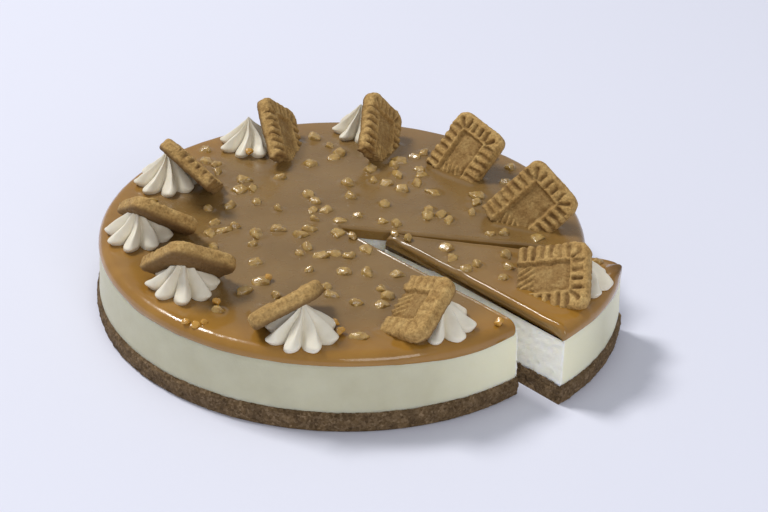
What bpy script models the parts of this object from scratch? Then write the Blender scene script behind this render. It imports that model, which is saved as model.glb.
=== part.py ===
"""A round chilled cheesecake with one wedge drawn out.

Crumb base, white filling and a caramel layer run through the cake and the wedge.
Ten piped cream rosettes stand round the rim, each with half a biscuit leaning on it,
and toffee pieces are set in the caramel. Metres, +Z up; the underside lies on z = 0.
"""
import math
import random
from collections import namedtuple

import bmesh
import bpy
from mathutils import Matrix, Vector, noise

# Heights of the layers
BASE_TOP = 0.0096
FILLING_TOP = 0.0317
CARAMEL_TOP = 0.0370
GAP = 0.0003

# Radii of the layers, the cake tapers a little towards the top
BASE_RADIUS = 0.1165
FILLING_RADIUS = 0.1150
FILLING_TOP_RADIUS = 0.1137
CARAMEL_RADIUS = 0.1141
CARAMEL_FILLET = 0.0046
TURN_STEPS = 80
CRUMB_RELIEF = 0.0005
CRUMB_SIZE = 0.006

# The caramel's lower edge sags at the rim: azimuth and half width in degrees, depth
Sag = namedtuple("Sag", "azimuth half_width depth")
SAGS = (Sag(-62, 9, 0.0018), Sag(-118, 14, 0.0006), Sag(-141, 5, 0.0010), Sag(-168, 6, 0.0012), Sag(-30, 8, 0.0008),
        Sag(40, 12, 0.0009), Sag(95, 10, 0.0012), Sag(150, 9, 0.0008))
SAG_START = 0.100

# The cut: the notch left in the cake, and the wedge drawn out of it
NOTCH_APEX = (-0.0015, -0.0055)
NOTCH_FACES = (-46.2, -9.2)
WEDGE_SHIFT = (0.0160, -0.0087)
WEDGE_APEX = (0.0026, -0.0020)
WEDGE_FACES = (-46.9, -11.2)
WEDGE_TIP_LOSS = {"crumb_base": 0.0010, "filling": 0.0020, "caramel": 0.0030}
CORNER_START = 0.106
CORNER_FLARE = 0.0010
CUTTER_REACH = 0.200
CUTTER_MARGIN = 0.010

# Piped cream rosettes
ROSETTE_RIDGES = 8
ROSETTE_TWIST = 28.0
POINTS_PER_RIDGE = 4
RIDGE_FULLNESS = 0.5
RosetteRing = namedtuple("RosetteRing", "height crest valley")
ROSETTE_RINGS = (
    RosetteRing(0.0000, 0.0150, 0.0098),
    RosetteRing(0.0024, 0.0168, 0.0088),
    RosetteRing(0.0058, 0.0128, 0.0058),
    RosetteRing(0.0100, 0.0074, 0.0036),
    RosetteRing(0.0138, 0.0032, 0.0018),
)
ROSETTE_HEIGHT = 0.0168
ROSETTE_PEAK = (0.0003, 0.0002)
Rosette = namedtuple("Rosette", "azimuth distance turn size")
ROSETTES = (
    Rosette(122, 0.0930, 4, 1.00),
    Rosette(85, 0.0990, 21, 0.97),
    Rosette(49, 0.0955, 12, 0.96),
    Rosette(12, 0.0960, 33, 1.00),
    Rosette(-27, 0.0985, 8, 0.98),
    Rosette(-66, 0.0990, 15, 0.98),
    Rosette(-99.5, 0.1005, 2, 1.02),
    Rosette(-138, 0.0930, 24, 1.03),
    Rosette(-169, 0.0955, 10, 1.02),
    Rosette(157.5, 0.0935, 29, 1.02),
)

# Half biscuits, broken across the middle of an oblong one
BISCUIT_WIDTH = 0.0315
BISCUIT_THICKNESS = 0.0069
BISCUIT_CORNER = 0.0060
RIM_WIDTH = 0.0022
RIM_DROP = 0.0017
BORDER_WIDTH = 0.0085
BORDER_NOTCHES = 21
NOTCH_DEPTH = 0.0012
PANEL_DEPTH = 0.0013
PANEL_SLOPE = 0.0006
PANEL_CORNER = 0.0009
BISCUIT_SINK = 0.0025
# place of the middle, azimuth and tilt of the ridged face, turn in its own plane (degrees), length
Biscuit = namedtuple("Biscuit", "x y z facing tilt turn length")
BISCUITS = (
    Biscuit(-0.0323, 0.0755, 0.0461, -9.5, 30.5, -43.5, 0.0335),
    Biscuit(0.0182, 0.0773, 0.0475, -24, 21, -49, 0.0337),
    Biscuit(0.0614, 0.0569, 0.0473, -131, 35, -14.5, 0.0330),
    Biscuit(0.0887, 0.0020, 0.0459, -111, 27, -38, 0.0364),
    Biscuit(0.0765, -0.0511, 0.0433, -132, 47, -62, 0.0330),
    Biscuit(0.0324, -0.0915, 0.0463, -165.5, 53, -54, 0.0245),
    Biscuit(-0.0233, -0.0898, 0.0463, 138.5, 50, -44, 0.0316),
    Biscuit(-0.0660, -0.0590, 0.0473, 84, 41, 36.5, 0.0335),
    Biscuit(-0.0845, -0.0161, 0.0465, 63, 45.5, 44, 0.0314),
    Biscuit(-0.0734, 0.0250, 0.0520, 30, 41.5, -47, 0.0310),
)
WEDGE_DECORATION = 4

# Toffee pieces set in the caramel
TOFFEE_SEED = 7
TOFFEE_COUNT = 92
TOFFEE_COUNT_WEDGE = 9
TOFFEE_LENGTHS = (0.0055, 0.0074, 0.0098)
TOFFEE_SLENDER = (0.62, 0.90)
TOFFEE_PROUD = (0.0020, 0.0032)
TOFFEE_REACH = 0.1040
TOFFEE_SPACING = 0.0090
TOFFEE_PAIR_SHARE = 0.30
TOFFEE_PAIR_STEP = 0.0066
TOFFEE_CLEARANCE = 0.0008
TOFFEE_POINTS = 11
TOFFEE_DEPTH = 2.2
TOFFEE_RISE = 0.1
POINT_TURN = 2.4
POINT_TURN_SPREAD = 0.5
POINT_SWELL = (0.86, 1.14)
WEDGE_TIP_KEEP_OUT = 0.025
TOFFEE_TRIES = 20000
ROSETTE_KEEP_OUT = 0.0175
CORNER_LUMP_AZIMUTH = -16.5
CORNER_LUMP_DISTANCE = 0.1075
CORNER_LUMP_SIZE = (0.0110, 0.0060, 0.0042)

# Colours in linear light, with roughness
COLOURS = {
    "crumb": ((0.115, 0.070, 0.036), 0.90),
    "filling": ((0.640, 0.620, 0.490), 0.60),
    "caramel": ((0.330, 0.170, 0.060), 0.22),
    "cream": ((0.780, 0.720, 0.610), 0.45),
    "biscuit": ((0.400, 0.220, 0.085), 0.75),
}

Toffee = namedtuple("Toffee", "x y length width proud turn")


def polar(azimuth, distance):
    """The point at an azimuth in degrees and a distance from the axis."""
    angle = math.radians(azimuth)
    return Vector((distance * math.cos(angle), distance * math.sin(angle)))


def remove_old_objects():
    for thing in list(bpy.data.objects):
        bpy.data.objects.remove(thing, do_unlink=True)


def new_collection(name):
    collection = bpy.data.collections.new(name)
    bpy.context.scene.collection.children.link(collection)
    return collection


def new_materials():
    """One Principled material for each kind of food, of its name."""
    materials = {}
    for name, (colour, roughness) in COLOURS.items():
        material = bpy.data.materials.new(name)
        material.use_nodes = True
        shader = material.node_tree.nodes["Principled BSDF"]
        shader.inputs["Base Color"].default_value = (*colour, 1.0)
        shader.inputs["Roughness"].default_value = roughness
        shader.inputs["Metallic"].default_value = 0.0
        material.diffuse_color = (*colour, 1.0)
        materials[name] = material
    return materials


def add_object(name, mesh, collection, parent):
    thing = bpy.data.objects.new(name, mesh)
    collection.objects.link(thing)
    thing.parent = parent
    return thing


def evaluated_mesh(thing):
    """The object's mesh with its modifiers applied and its seams welded."""
    depsgraph = bpy.context.evaluated_depsgraph_get()
    mesh = bpy.data.meshes.new_from_object(thing.evaluated_get(depsgraph))
    body = bmesh.new()
    body.from_mesh(mesh)
    bmesh.ops.remove_doubles(body, verts=body.verts, dist=0.000005)
    body.to_mesh(mesh)
    body.free()
    return mesh


def apply_modifiers(thing):
    mesh = evaluated_mesh(thing)
    thing.modifiers.clear()
    thing.data = mesh


def as_cutter(thing):
    thing.hide_render = True
    thing.display_type = "WIRE"


def add_boolean(thing, operation, other):
    """A Boolean with an object or with all the objects of a collection."""
    modifier = thing.modifiers.new(operation.lower(), "BOOLEAN")
    modifier.operation = operation
    modifier.solver = "EXACT"
    if isinstance(other, bpy.types.Collection):
        modifier.operand_type = "COLLECTION"
        modifier.collection = other
    else:
        modifier.object = other
    return modifier


def keep_largest_piece(thing):
    """Removes the scraps that a cut leaves beside the main piece."""
    body = bmesh.new()
    body.from_mesh(thing.data)
    unseen = set(body.verts)
    pieces = []
    while unseen:
        start = unseen.pop()
        piece = [start]
        front = [start]
        while front:
            vert = front.pop()
            fresh = [edge.other_vert(vert) for edge in vert.link_edges if edge.other_vert(vert) in unseen]
            unseen.difference_update(fresh)
            front.extend(fresh)
            piece.extend(fresh)
        pieces.append(piece)
    pieces.sort(key=len)
    for piece in pieces[:-1]:
        bmesh.ops.delete(body, geom=piece, context="VERTS")
    body.to_mesh(thing.data)
    body.free()


def shade_round(thing, angle=40.0):
    thing.data.shade_smooth()
    thing.data.set_sharp_from_angle(angle=math.radians(angle))


def turned(name, profile):
    """A closed turned mesh: the profile leaves the axis at the top and comes back at the bottom."""
    points = [(radius, 0.0, height) for radius, height in profile]
    edges = [(start, start + 1) for start in range(len(points) - 1)]
    mesh = bpy.data.meshes.new(name)
    mesh.from_pydata(points, edges, [])
    guide = add_object(name + "_profile", mesh, bpy.context.scene.collection, None)
    screw = guide.modifiers.new("turn", "SCREW")
    screw.steps = TURN_STEPS
    screw.render_steps = TURN_STEPS
    screw.use_merge_vertices = True
    screw.merge_threshold = 0.00001
    solid = evaluated_mesh(guide)
    bpy.data.objects.remove(guide, do_unlink=True)
    return solid


def prism(name, outline, low, high, collection, parent):
    """An upright prism over a flat outline, as a cutter."""
    curve = bpy.data.curves.new(name, "CURVE")
    curve.dimensions = "2D"
    curve.fill_mode = "BOTH"
    curve.extrude = (high - low) / 2
    spline = curve.splines.new("POLY")
    spline.points.add(len(outline) - 1)
    for point, (x, y) in zip(spline.points, outline):
        point.co = (x, y, 0.0, 1.0)
    spline.use_cyclic_u = True
    guide = bpy.data.objects.new(name + "_outline", curve)
    bpy.context.scene.collection.objects.link(guide)
    solid = add_object(name, evaluated_mesh(guide), collection, parent)
    solid.location.z = (low + high) / 2
    bpy.data.objects.remove(guide, do_unlink=True)
    as_cutter(solid)
    return solid


def sector_outline(apex, faces, tip_loss=0.0, flare=0.0):
    """The plan of a wedge: a blunt or sharp tip, straight faces and, if asked, flared corners."""
    apex = Vector(apex)
    sides = []
    for azimuth, side in zip(faces, (-1, 1)):
        along = polar(azimuth, 1.0)
        across = Vector((-along.y, along.x)) * side
        points = [apex + along * tip_loss, apex + along * CORNER_START]
        points.append(apex + along * (BASE_RADIUS + 0.004) + across * flare)
        points.append(apex + along * CUTTER_REACH + across * flare * 4)
        sides.append(points)
    lower, upper = sides
    start = lower if tip_loss > 0 else lower[1:]
    rest = list(reversed(upper)) if tip_loss > 0 else list(reversed(upper[1:])) + [apex]
    return start + rest


def reach_from(apex, azimuth, radius):
    """The distance from a point along an azimuth to the circle of a radius round the axis."""
    along = polar(azimuth, 1.0).dot(apex)
    return math.sqrt(along * along - apex.length_squared + radius * radius) - along


def sag_at(azimuth):
    """How far the caramel's lower edge hangs down at an azimuth in degrees."""
    waviness = 0.00035 * math.sin(math.radians(azimuth * 5 + 30)) + 0.0002 * math.sin(math.radians(azimuth * 13))
    depth = max(0.0, waviness)
    for sag in SAGS:
        offset = (azimuth - sag.azimuth + 180) % 360 - 180
        depth += sag.depth * math.exp(-(offset / sag.half_width) ** 2)
    return depth


def let_sag(mesh, top=None):
    """Lowers the surface between filling and caramel towards the rim; what is above top stays."""
    for vert in mesh.vertices:
        radius = math.hypot(vert.co.x, vert.co.y)
        if radius < SAG_START + 0.0001 or vert.co.z < BASE_TOP + 0.015:
            continue
        if top is not None and vert.co.z > top:
            continue
        vert.co.z -= sag_at(math.degrees(math.atan2(vert.co.y, vert.co.x)))


def roughen_side(mesh):
    """Gives the crumb base's side and upper edge a crumbly unevenness; its underside stays flat."""
    for vert in mesh.vertices:
        radius = math.hypot(vert.co.x, vert.co.y)
        if radius < SAG_START:
            continue
        bump = CRUMB_RELIEF * noise.noise(vert.co / CRUMB_SIZE)
        vert.co.x *= 1 + bump / radius
        vert.co.y *= 1 + bump / radius


def layer_meshes():
    """The three turned layers, whole and round."""
    crumb = turned("crumb_base", (
        (0.0, BASE_TOP),
        (BASE_RADIUS - 0.0016, BASE_TOP),
        (BASE_RADIUS - 0.0003, BASE_TOP - 0.0014),
        (BASE_RADIUS, BASE_TOP / 2),
        (BASE_RADIUS - 0.0004, 0.0008),
        (BASE_RADIUS - 0.0012, 0.0),
        (0.0, 0.0),
    ))
    roughen_side(crumb)
    filling = turned("filling", (
        (0.0, FILLING_TOP),
        (SAG_START, FILLING_TOP),
        (FILLING_TOP_RADIUS - 0.0006, FILLING_TOP),
        (FILLING_TOP_RADIUS, FILLING_TOP - 0.0006),
        (FILLING_RADIUS, BASE_TOP + GAP + 0.0008),
        (FILLING_RADIUS - 0.0008, BASE_TOP + GAP),
        (0.0, BASE_TOP + GAP),
    ))
    let_sag(filling)
    low = FILLING_TOP + GAP
    fillet_middle = CARAMEL_FILLET * (1 - math.sqrt(0.5))
    caramel = turned("caramel", (
        (0.0, CARAMEL_TOP),
        (CARAMEL_RADIUS - CARAMEL_FILLET, CARAMEL_TOP),
        (CARAMEL_RADIUS - fillet_middle, CARAMEL_TOP - fillet_middle),
        (CARAMEL_RADIUS, low + 0.0012),
        (CARAMEL_RADIUS - 0.0002, low + 0.0004),
        (FILLING_TOP_RADIUS - 0.0006, low),
        (SAG_START, low),
        (0.0, low),
    ))
    let_sag(caramel, top=low + 0.0015)
    return {"crumb_base": crumb, "filling": filling, "caramel": caramel}


def rosette_mesh():
    """A star-nozzle rosette: twisted ridges that run from a flared foot up to a drawn point."""
    body = bmesh.new()
    around = ROSETTE_RIDGES * POINTS_PER_RIDGE
    rings = []
    for ring in ROSETTE_RINGS:
        twist = ROSETTE_TWIST * ring.height / ROSETTE_HEIGHT
        verts = []
        for index in range(around):
            swell = math.sin(math.pi * (index % POINTS_PER_RIDGE) / POINTS_PER_RIDGE) ** RIDGE_FULLNESS
            radius = ring.valley + (ring.crest - ring.valley) * swell
            place = polar(360 * index / around + twist, radius)
            verts.append(body.verts.new((place.x, place.y, ring.height)))
        rings.append(verts)
    for lower, upper in zip(rings, rings[1:]):
        for index in range(around):
            after = (index + 1) % around
            body.faces.new((lower[index], lower[after], upper[after], upper[index]))
    peak = body.verts.new((*ROSETTE_PEAK, ROSETTE_HEIGHT))
    for index in range(around):
        body.faces.new((rings[-1][index], rings[-1][(index + 1) % around], peak))
    body.faces.new(list(reversed(rings[0])))
    mesh = bpy.data.meshes.new("rosette")
    body.to_mesh(mesh)
    body.free()
    return mesh


def biscuit_rim_point(distance, length):
    """The point of a half biscuit's rounded outline at a distance along it."""
    half = BISCUIT_WIDTH / 2
    straight = length - BISCUIT_CORNER
    arc = math.pi / 2 * BISCUIT_CORNER
    across = BISCUIT_WIDTH - 2 * BISCUIT_CORNER
    if distance > straight + arc + across / 2:
        point = biscuit_rim_point(2 * straight + 2 * arc + across - distance, length)
        return Vector((-point.x, point.y))
    if distance <= straight:
        return Vector((-half, distance - length / 2))
    if distance <= straight + arc:
        centre = Vector((BISCUIT_CORNER - half, length / 2 - BISCUIT_CORNER))
        return centre + polar(180 - 90 * (distance - straight) / arc, BISCUIT_CORNER)
    along = distance - straight - arc
    return Vector((BISCUIT_CORNER - half + along, length / 2))


def toward_panel(point, length, inset):
    """The point of the sunk panel's rounded outline, moved in by inset, that is nearest to a rim point."""
    reach_x = BISCUIT_WIDTH / 2 - BORDER_WIDTH - PANEL_CORNER
    reach_y = length / 2 - BORDER_WIDTH - PANEL_CORNER
    core = Vector((max(-reach_x, min(reach_x, point.x)), min(reach_y, point.y)))
    return core + (point - core).normalized() * (PANEL_CORNER - inset)


def biscuit_mesh(length):
    """Half a biscuit: border with radial notches on three sides, sunk panel, and a broken edge at -Y."""
    body = bmesh.new()
    outline = 2 * (length - BISCUIT_CORNER) + math.pi * BISCUIT_CORNER + BISCUIT_WIDTH - 2 * BISCUIT_CORNER
    count = 2 * BORDER_NOTCHES + 1
    top = BISCUIT_THICKNESS / 2
    strips = [[], [], [], [], [], []]
    for index in range(count):
        edge = biscuit_rim_point(outline * index / (count - 1), length)
        inner = toward_panel(edge, length, 0.0)
        foot = toward_panel(edge, length, PANEL_SLOPE)
        crest = edge + (inner - edge).normalized() * RIM_WIDTH
        drop = NOTCH_DEPTH * (index % 2)
        points = ((crest, -top), (edge, RIM_DROP - top), (edge, top - RIM_DROP), (crest, top - drop / 2),
                  (inner, top - drop), (foot, top - PANEL_DEPTH))
        for strip, (place, height) in zip(strips, points):
            strip.append(body.verts.new((place.x, place.y, height)))
    for outer, inner in zip(strips, strips[1:]):
        for index in range(count - 1):
            body.faces.new((outer[index], outer[index + 1], inner[index + 1], inner[index]))
    body.faces.new(strips[0])
    body.faces.new(strips[-1])
    body.faces.new([strip[0] for strip in strips] + [strip[-1] for strip in reversed(strips)])
    bmesh.ops.recalc_face_normals(body, faces=body.faces)
    mesh = bpy.data.meshes.new("biscuit")
    body.to_mesh(mesh)
    body.free()
    return mesh


def biscuit_slab_mesh(length):
    """The plain envelope of a half biscuit with the gap round it, for the hollows that it sits in."""
    body = bmesh.new()
    bmesh.ops.create_cube(body, size=1.0)
    size = (BISCUIT_WIDTH + 2 * GAP, length + 2 * GAP, BISCUIT_THICKNESS + 2 * GAP)
    bmesh.ops.scale(body, vec=size, verts=body.verts)
    corners = [edge for edge in body.edges
               if abs(edge.verts[0].co.z - edge.verts[1].co.z) > 0.001 and edge.verts[0].co.y > 0]
    bmesh.ops.bevel(body, geom=corners, offset=BISCUIT_CORNER, segments=3, profile=0.5, affect="EDGES")
    mesh = bpy.data.meshes.new("biscuit_slab")
    body.to_mesh(mesh)
    body.free()
    return mesh


def biscuit_matrix(biscuit):
    """Local X across the biscuit, Y to its rounded end, Z out of its ridged face."""
    facing = math.radians(biscuit.facing)
    tilt = math.radians(biscuit.tilt)
    turn = math.radians(biscuit.turn)
    out = Vector((math.cos(tilt) * math.cos(facing), math.cos(tilt) * math.sin(facing), math.sin(tilt)))
    up = Vector((-math.sin(tilt) * math.cos(facing), -math.sin(tilt) * math.sin(facing), math.cos(tilt)))
    side = up.cross(out)
    across = math.cos(turn) * side + math.sin(turn) * up
    along = -math.sin(turn) * side + math.cos(turn) * up
    rotation = Matrix((across, along, out)).transposed()
    return Matrix.Translation((biscuit.x, biscuit.y, biscuit.z)) @ rotation.to_4x4()


def set_pose(thing, matrix):
    thing.location = matrix.to_translation()
    thing.rotation_euler = matrix.to_euler()


def inside_sector(x, y, apex, faces, margin):
    """Whether a point lies in the wedge between two faces, at least margin away from both."""
    offset = Vector((x, y)) - Vector(apex)
    lower = polar(faces[0], 1.0)
    upper = polar(faces[1], 1.0)
    return lower.x * offset.y - lower.y * offset.x > margin and offset.x * upper.y - offset.y * upper.x > margin


def clear_of_toppings(x, y, reach, rosettes, biscuits):
    """Whether a toffee piece of this reach stands free of the rosettes and biscuits."""
    for rosette in rosettes:
        centre = polar(rosette.azimuth, rosette.distance)
        if math.hypot(x - centre.x, y - centre.y) < ROSETTE_KEEP_OUT * rosette.size + reach:
            return False
    for biscuit in biscuits:
        half = (BISCUIT_WIDTH / 2 + reach, biscuit.length / 2 + reach, BISCUIT_THICKNESS / 2 + reach)
        back = biscuit_matrix(biscuit).inverted()
        for height in (CARAMEL_TOP, CARAMEL_TOP + TOFFEE_PROUD[1]):
            local = back @ Vector((x, y, height))
            if all(abs(value) < limit for value, limit in zip(local, half)):
                return False
    return True


def toffee_places(count, seed, allowed):
    """Toffee pieces spread evenly by a seeded rule, some of them in touching pairs."""
    draw = random.Random(seed)
    places = []
    pair_with = None
    for attempt in range(TOFFEE_TRIES):
        if len(places) == count:
            break
        if pair_with is not None:
            angle = draw.uniform(0, 360)
            step = polar(angle, TOFFEE_PAIR_STEP)
            x, y = pair_with.x + step.x, pair_with.y + step.y
            spacing = TOFFEE_PAIR_STEP * 0.95
        else:
            x = draw.uniform(-TOFFEE_REACH, TOFFEE_REACH)
            y = draw.uniform(-TOFFEE_REACH, TOFFEE_REACH)
            spacing = TOFFEE_SPACING
        length = draw.triangular(TOFFEE_LENGTHS[0], TOFFEE_LENGTHS[2], TOFFEE_LENGTHS[1])
        width = length * draw.uniform(*TOFFEE_SLENDER)
        proud = draw.uniform(*TOFFEE_PROUD)
        turn = draw.uniform(0, 180)
        pair_next = draw.random() < TOFFEE_PAIR_SHARE
        near = min((math.hypot(x - other.x, y - other.y) for other in places), default=1.0)
        reach = length / 2 + TOFFEE_CLEARANCE
        fits = math.hypot(x, y) + reach < TOFFEE_REACH + 0.004 and near > spacing and allowed(x, y, reach)
        if not fits:
            pair_with = None
            continue
        place = Toffee(x, y, length, width, proud, turn)
        pair_with = place if pair_next and pair_with is None else None
        places.append(place)
    return places


def nugget_mesh(name, size, seed):
    """An irregular broken piece: the hull of a few seeded points on an ellipsoid."""
    draw = random.Random(seed)
    body = bmesh.new()
    for index in range(TOFFEE_POINTS):
        height = 1 - 2 * (index + 0.5) / TOFFEE_POINTS
        angle = index * POINT_TURN + draw.uniform(-POINT_TURN_SPREAD, POINT_TURN_SPREAD)
        ring = math.sqrt(1 - height * height)
        swell = draw.uniform(*POINT_SWELL)
        direction = Vector((ring * math.cos(angle), ring * math.sin(angle), height)) * swell
        body.verts.new((direction.x * size[0] / 2, direction.y * size[1] / 2, direction.z * size[2] / 2))
    hull = bmesh.ops.convex_hull(body, input=body.verts)
    loose = [item for item in hull["geom_interior"] if isinstance(item, bmesh.types.BMVert)]
    bmesh.ops.delete(body, geom=loose, context="VERTS")
    bmesh.ops.recalc_face_normals(body, faces=body.faces)
    mesh = bpy.data.meshes.new(name)
    body.to_mesh(mesh)
    body.free()
    return mesh


def fuse_toffee(caramel, places, parent, extra=()):
    """Joins the toffee pieces to the caramel with one Boolean union, and removes their objects."""
    scraps = new_collection(caramel.name + "_toffee")
    for index, place in enumerate(places):
        size = (place.length, place.width, place.proud * TOFFEE_DEPTH)
        mesh = nugget_mesh("toffee", size, TOFFEE_SEED * 1000 + index)
        piece = add_object("toffee_piece", mesh, scraps, parent)
        piece.location = (place.x, place.y, CARAMEL_TOP + place.proud * TOFFEE_RISE)
        piece.rotation_euler.z = math.radians(place.turn)
    for mesh, location, turn in extra:
        piece = add_object("caramel_lump", mesh, scraps, parent)
        piece.location = location
        piece.rotation_euler.z = turn
    add_boolean(caramel, "UNION", scraps)
    apply_modifiers(caramel)
    for piece in list(scraps.objects):
        bpy.data.objects.remove(piece, do_unlink=True)
    bpy.data.collections.remove(scraps)


def build_toppings(parts, cutters, materials, cake, wedge):
    """Ten rosettes and ten half biscuits, and the cutters of the hollows that the biscuits sit in."""
    swirl = rosette_mesh()
    swirl.materials.append(materials["cream"])
    floors = {}
    for depth, label in ((BISCUIT_SINK, "biscuit_floor"), (BISCUIT_SINK + GAP, "hollow_floor")):
        square = [(-1, -1), (1, -1), (1, 1), (-1, 1)]
        outline = [(x * CUTTER_REACH, y * CUTTER_REACH) for x, y in square]
        floors[label] = prism(label, outline, 0.0, CARAMEL_TOP - depth, cutters, cake)
    hollows = {"caramel": new_collection("hollows_cake"), "slice_caramel": new_collection("hollows_slice")}
    for index, (rosette, biscuit) in enumerate(zip(ROSETTES, BISCUITS)):
        drawn_out = index == WEDGE_DECORATION
        parent = wedge if drawn_out else cake
        number = f"{index + 1:02d}"
        pose = biscuit_matrix(biscuit)
        biscuit_object = add_object("biscuit_" + number, biscuit_mesh(biscuit.length), parts, parent)
        biscuit_object.data.materials.append(materials["biscuit"])
        set_pose(biscuit_object, pose)
        add_boolean(biscuit_object, "DIFFERENCE", floors["biscuit_floor"])

        slab = biscuit_slab_mesh(biscuit.length)
        hollow = add_object("hollow_" + number, slab, hollows["slice_caramel" if drawn_out else "caramel"], parent)
        set_pose(hollow, pose)
        as_cutter(hollow)
        add_boolean(hollow, "DIFFERENCE", floors["hollow_floor"])

        rosette_object = add_object("rosette_" + number, swirl.copy(), parts, parent)
        centre = polar(rosette.azimuth, rosette.distance)
        rosette_object.location = (centre.x, centre.y, CARAMEL_TOP + GAP)
        rosette_object.rotation_euler.z = math.radians(rosette.turn)
        rosette_object.data.transform(Matrix.Scale(rosette.size, 4))
        add_boolean(rosette_object, "DIFFERENCE", hollow)
        apply_modifiers(rosette_object)
        keep_largest_piece(rosette_object)
        shade_round(rosette_object, 50.0)
    return hollows


def build_layers(parts, cutters, materials, cake, wedge, hollows):
    """The layers of the cake and of the wedge, cut by their faces."""
    kinds = {"crumb_base": "crumb", "filling": "filling", "caramel": "caramel"}
    for kind, mesh in layer_meshes().items():
        mesh.materials.append(materials[kinds[kind]])
        flare = CORNER_FLARE if kind == "caramel" else 0.0
        notch = prism("notch_" + kind, sector_outline(NOTCH_APEX, NOTCH_FACES, flare=flare),
                      -CUTTER_MARGIN, CARAMEL_TOP + CUTTER_MARGIN, cutters, cake)
        body = add_object(kind, mesh, parts, cake)
        add_boolean(body, "DIFFERENCE", notch)

        plan = sector_outline(WEDGE_APEX, WEDGE_FACES, tip_loss=WEDGE_TIP_LOSS[kind])
        sector = prism("sector_" + kind, plan, -CUTTER_MARGIN, CARAMEL_TOP + CUTTER_MARGIN, cutters, wedge)
        drawn = add_object("slice_" + kind, mesh.copy(), parts, wedge)
        add_boolean(drawn, "INTERSECT", sector)

    caramel = parts.objects["caramel"]
    cake_toppings = [item for index, item in enumerate(ROSETTES) if index != WEDGE_DECORATION]
    cake_biscuits = [item for index, item in enumerate(BISCUITS) if index != WEDGE_DECORATION]
    places = toffee_places(TOFFEE_COUNT, TOFFEE_SEED, lambda x, y, reach: (
        not inside_sector(x, y, NOTCH_APEX, NOTCH_FACES, -reach)
        and clear_of_toppings(x, y, reach, cake_toppings, cake_biscuits)))
    fuse_toffee(caramel, places, cake)
    add_boolean(caramel, "DIFFERENCE", hollows["caramel"])

    drawn_caramel = parts.objects["slice_caramel"]
    places = toffee_places(TOFFEE_COUNT_WEDGE, TOFFEE_SEED + 1, lambda x, y, reach: (
        inside_sector(x, y, WEDGE_APEX, WEDGE_FACES, reach) and math.hypot(x, y) > WEDGE_TIP_KEEP_OUT
        and clear_of_toppings(x, y, reach, [ROSETTES[WEDGE_DECORATION]], [BISCUITS[WEDGE_DECORATION]])))
    corner = polar(CORNER_LUMP_AZIMUTH, CORNER_LUMP_DISTANCE)
    lump = nugget_mesh("caramel_lump", CORNER_LUMP_SIZE, TOFFEE_SEED)
    extra = [(lump, (corner.x, corner.y, CARAMEL_TOP), math.radians(CORNER_LUMP_AZIMUTH))]
    fuse_toffee(drawn_caramel, places, wedge, extra)
    add_boolean(drawn_caramel, "DIFFERENCE", hollows["slice_caramel"])
    for body in (caramel, drawn_caramel):
        shade_round(body, 35.0)


def new_empty(name, location, collection, parent=None):
    empty = add_object(name, None, collection, parent)
    empty.location = location
    return empty


def main():
    remove_old_objects()
    parts = new_collection("cheesecake")
    cutters = new_collection("cutters")
    materials = new_materials()
    # the wedge reaches past the cake on one side, so the whole is centred between the two ends
    apex = Vector(WEDGE_APEX)
    corner = apex + polar(WEDGE_FACES[1], reach_from(apex, WEDGE_FACES[1], BASE_RADIUS))
    centre_shift = (WEDGE_SHIFT[0] + corner.x - BASE_RADIUS) / 2
    cake = new_empty("cake_axis", (-centre_shift, 0.0, 0.0), parts)
    wedge = new_empty("wedge_axis", (*WEDGE_SHIFT, 0.0), parts, cake)
    hollows = build_toppings(parts, cutters, materials, cake, wedge)
    build_layers(parts, cutters, materials, cake, wedge, hollows)


main()
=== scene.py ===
"""Looks of the chilled cheesecake: crumb base, filling, caramel, toffee, cream rosettes and half biscuits.

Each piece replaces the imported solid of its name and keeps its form; metres, +Z up.
"""
import math
import random
from collections import namedtuple

import bmesh
import bpy
import numpy as np
from mathutils import Matrix, Vector, noise


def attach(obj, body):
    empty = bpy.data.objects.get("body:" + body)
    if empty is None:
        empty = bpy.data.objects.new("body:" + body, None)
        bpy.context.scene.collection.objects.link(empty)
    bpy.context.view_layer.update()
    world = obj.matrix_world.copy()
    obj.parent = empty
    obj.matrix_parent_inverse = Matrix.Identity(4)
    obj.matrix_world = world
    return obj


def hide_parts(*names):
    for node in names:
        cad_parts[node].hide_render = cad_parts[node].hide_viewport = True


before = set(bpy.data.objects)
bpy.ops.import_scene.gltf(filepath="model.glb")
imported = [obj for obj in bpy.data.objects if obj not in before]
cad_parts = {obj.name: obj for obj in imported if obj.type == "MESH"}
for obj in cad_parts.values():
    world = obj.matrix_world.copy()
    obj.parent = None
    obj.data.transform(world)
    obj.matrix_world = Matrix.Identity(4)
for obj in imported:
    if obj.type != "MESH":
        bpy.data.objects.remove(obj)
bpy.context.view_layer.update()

# Heights of the layers
BASE_TOP = 0.0096
FILLING_TOP = 0.0317
CARAMEL_TOP = 0.0370

# Radii of the layers
BASE_RADIUS = 0.1165
FILLING_RADIUS = 0.1150
FILLING_TOP_RADIUS = 0.1137
CARAMEL_RADIUS = 0.1141
CARAMEL_FILLET = 0.0046

Sag = namedtuple("Sag", "azimuth half_width depth")
SAGS = (
    Sag(-62, 9, 0.0018), Sag(-118, 14, 0.0006), Sag(-141, 5, 0.0010), Sag(-168, 6, 0.0012),
    Sag(-30, 8, 0.0008), Sag(40, 12, 0.0009), Sag(95, 10, 0.0012), Sag(150, 9, 0.0008),
)
SAG_START = 0.100

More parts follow.
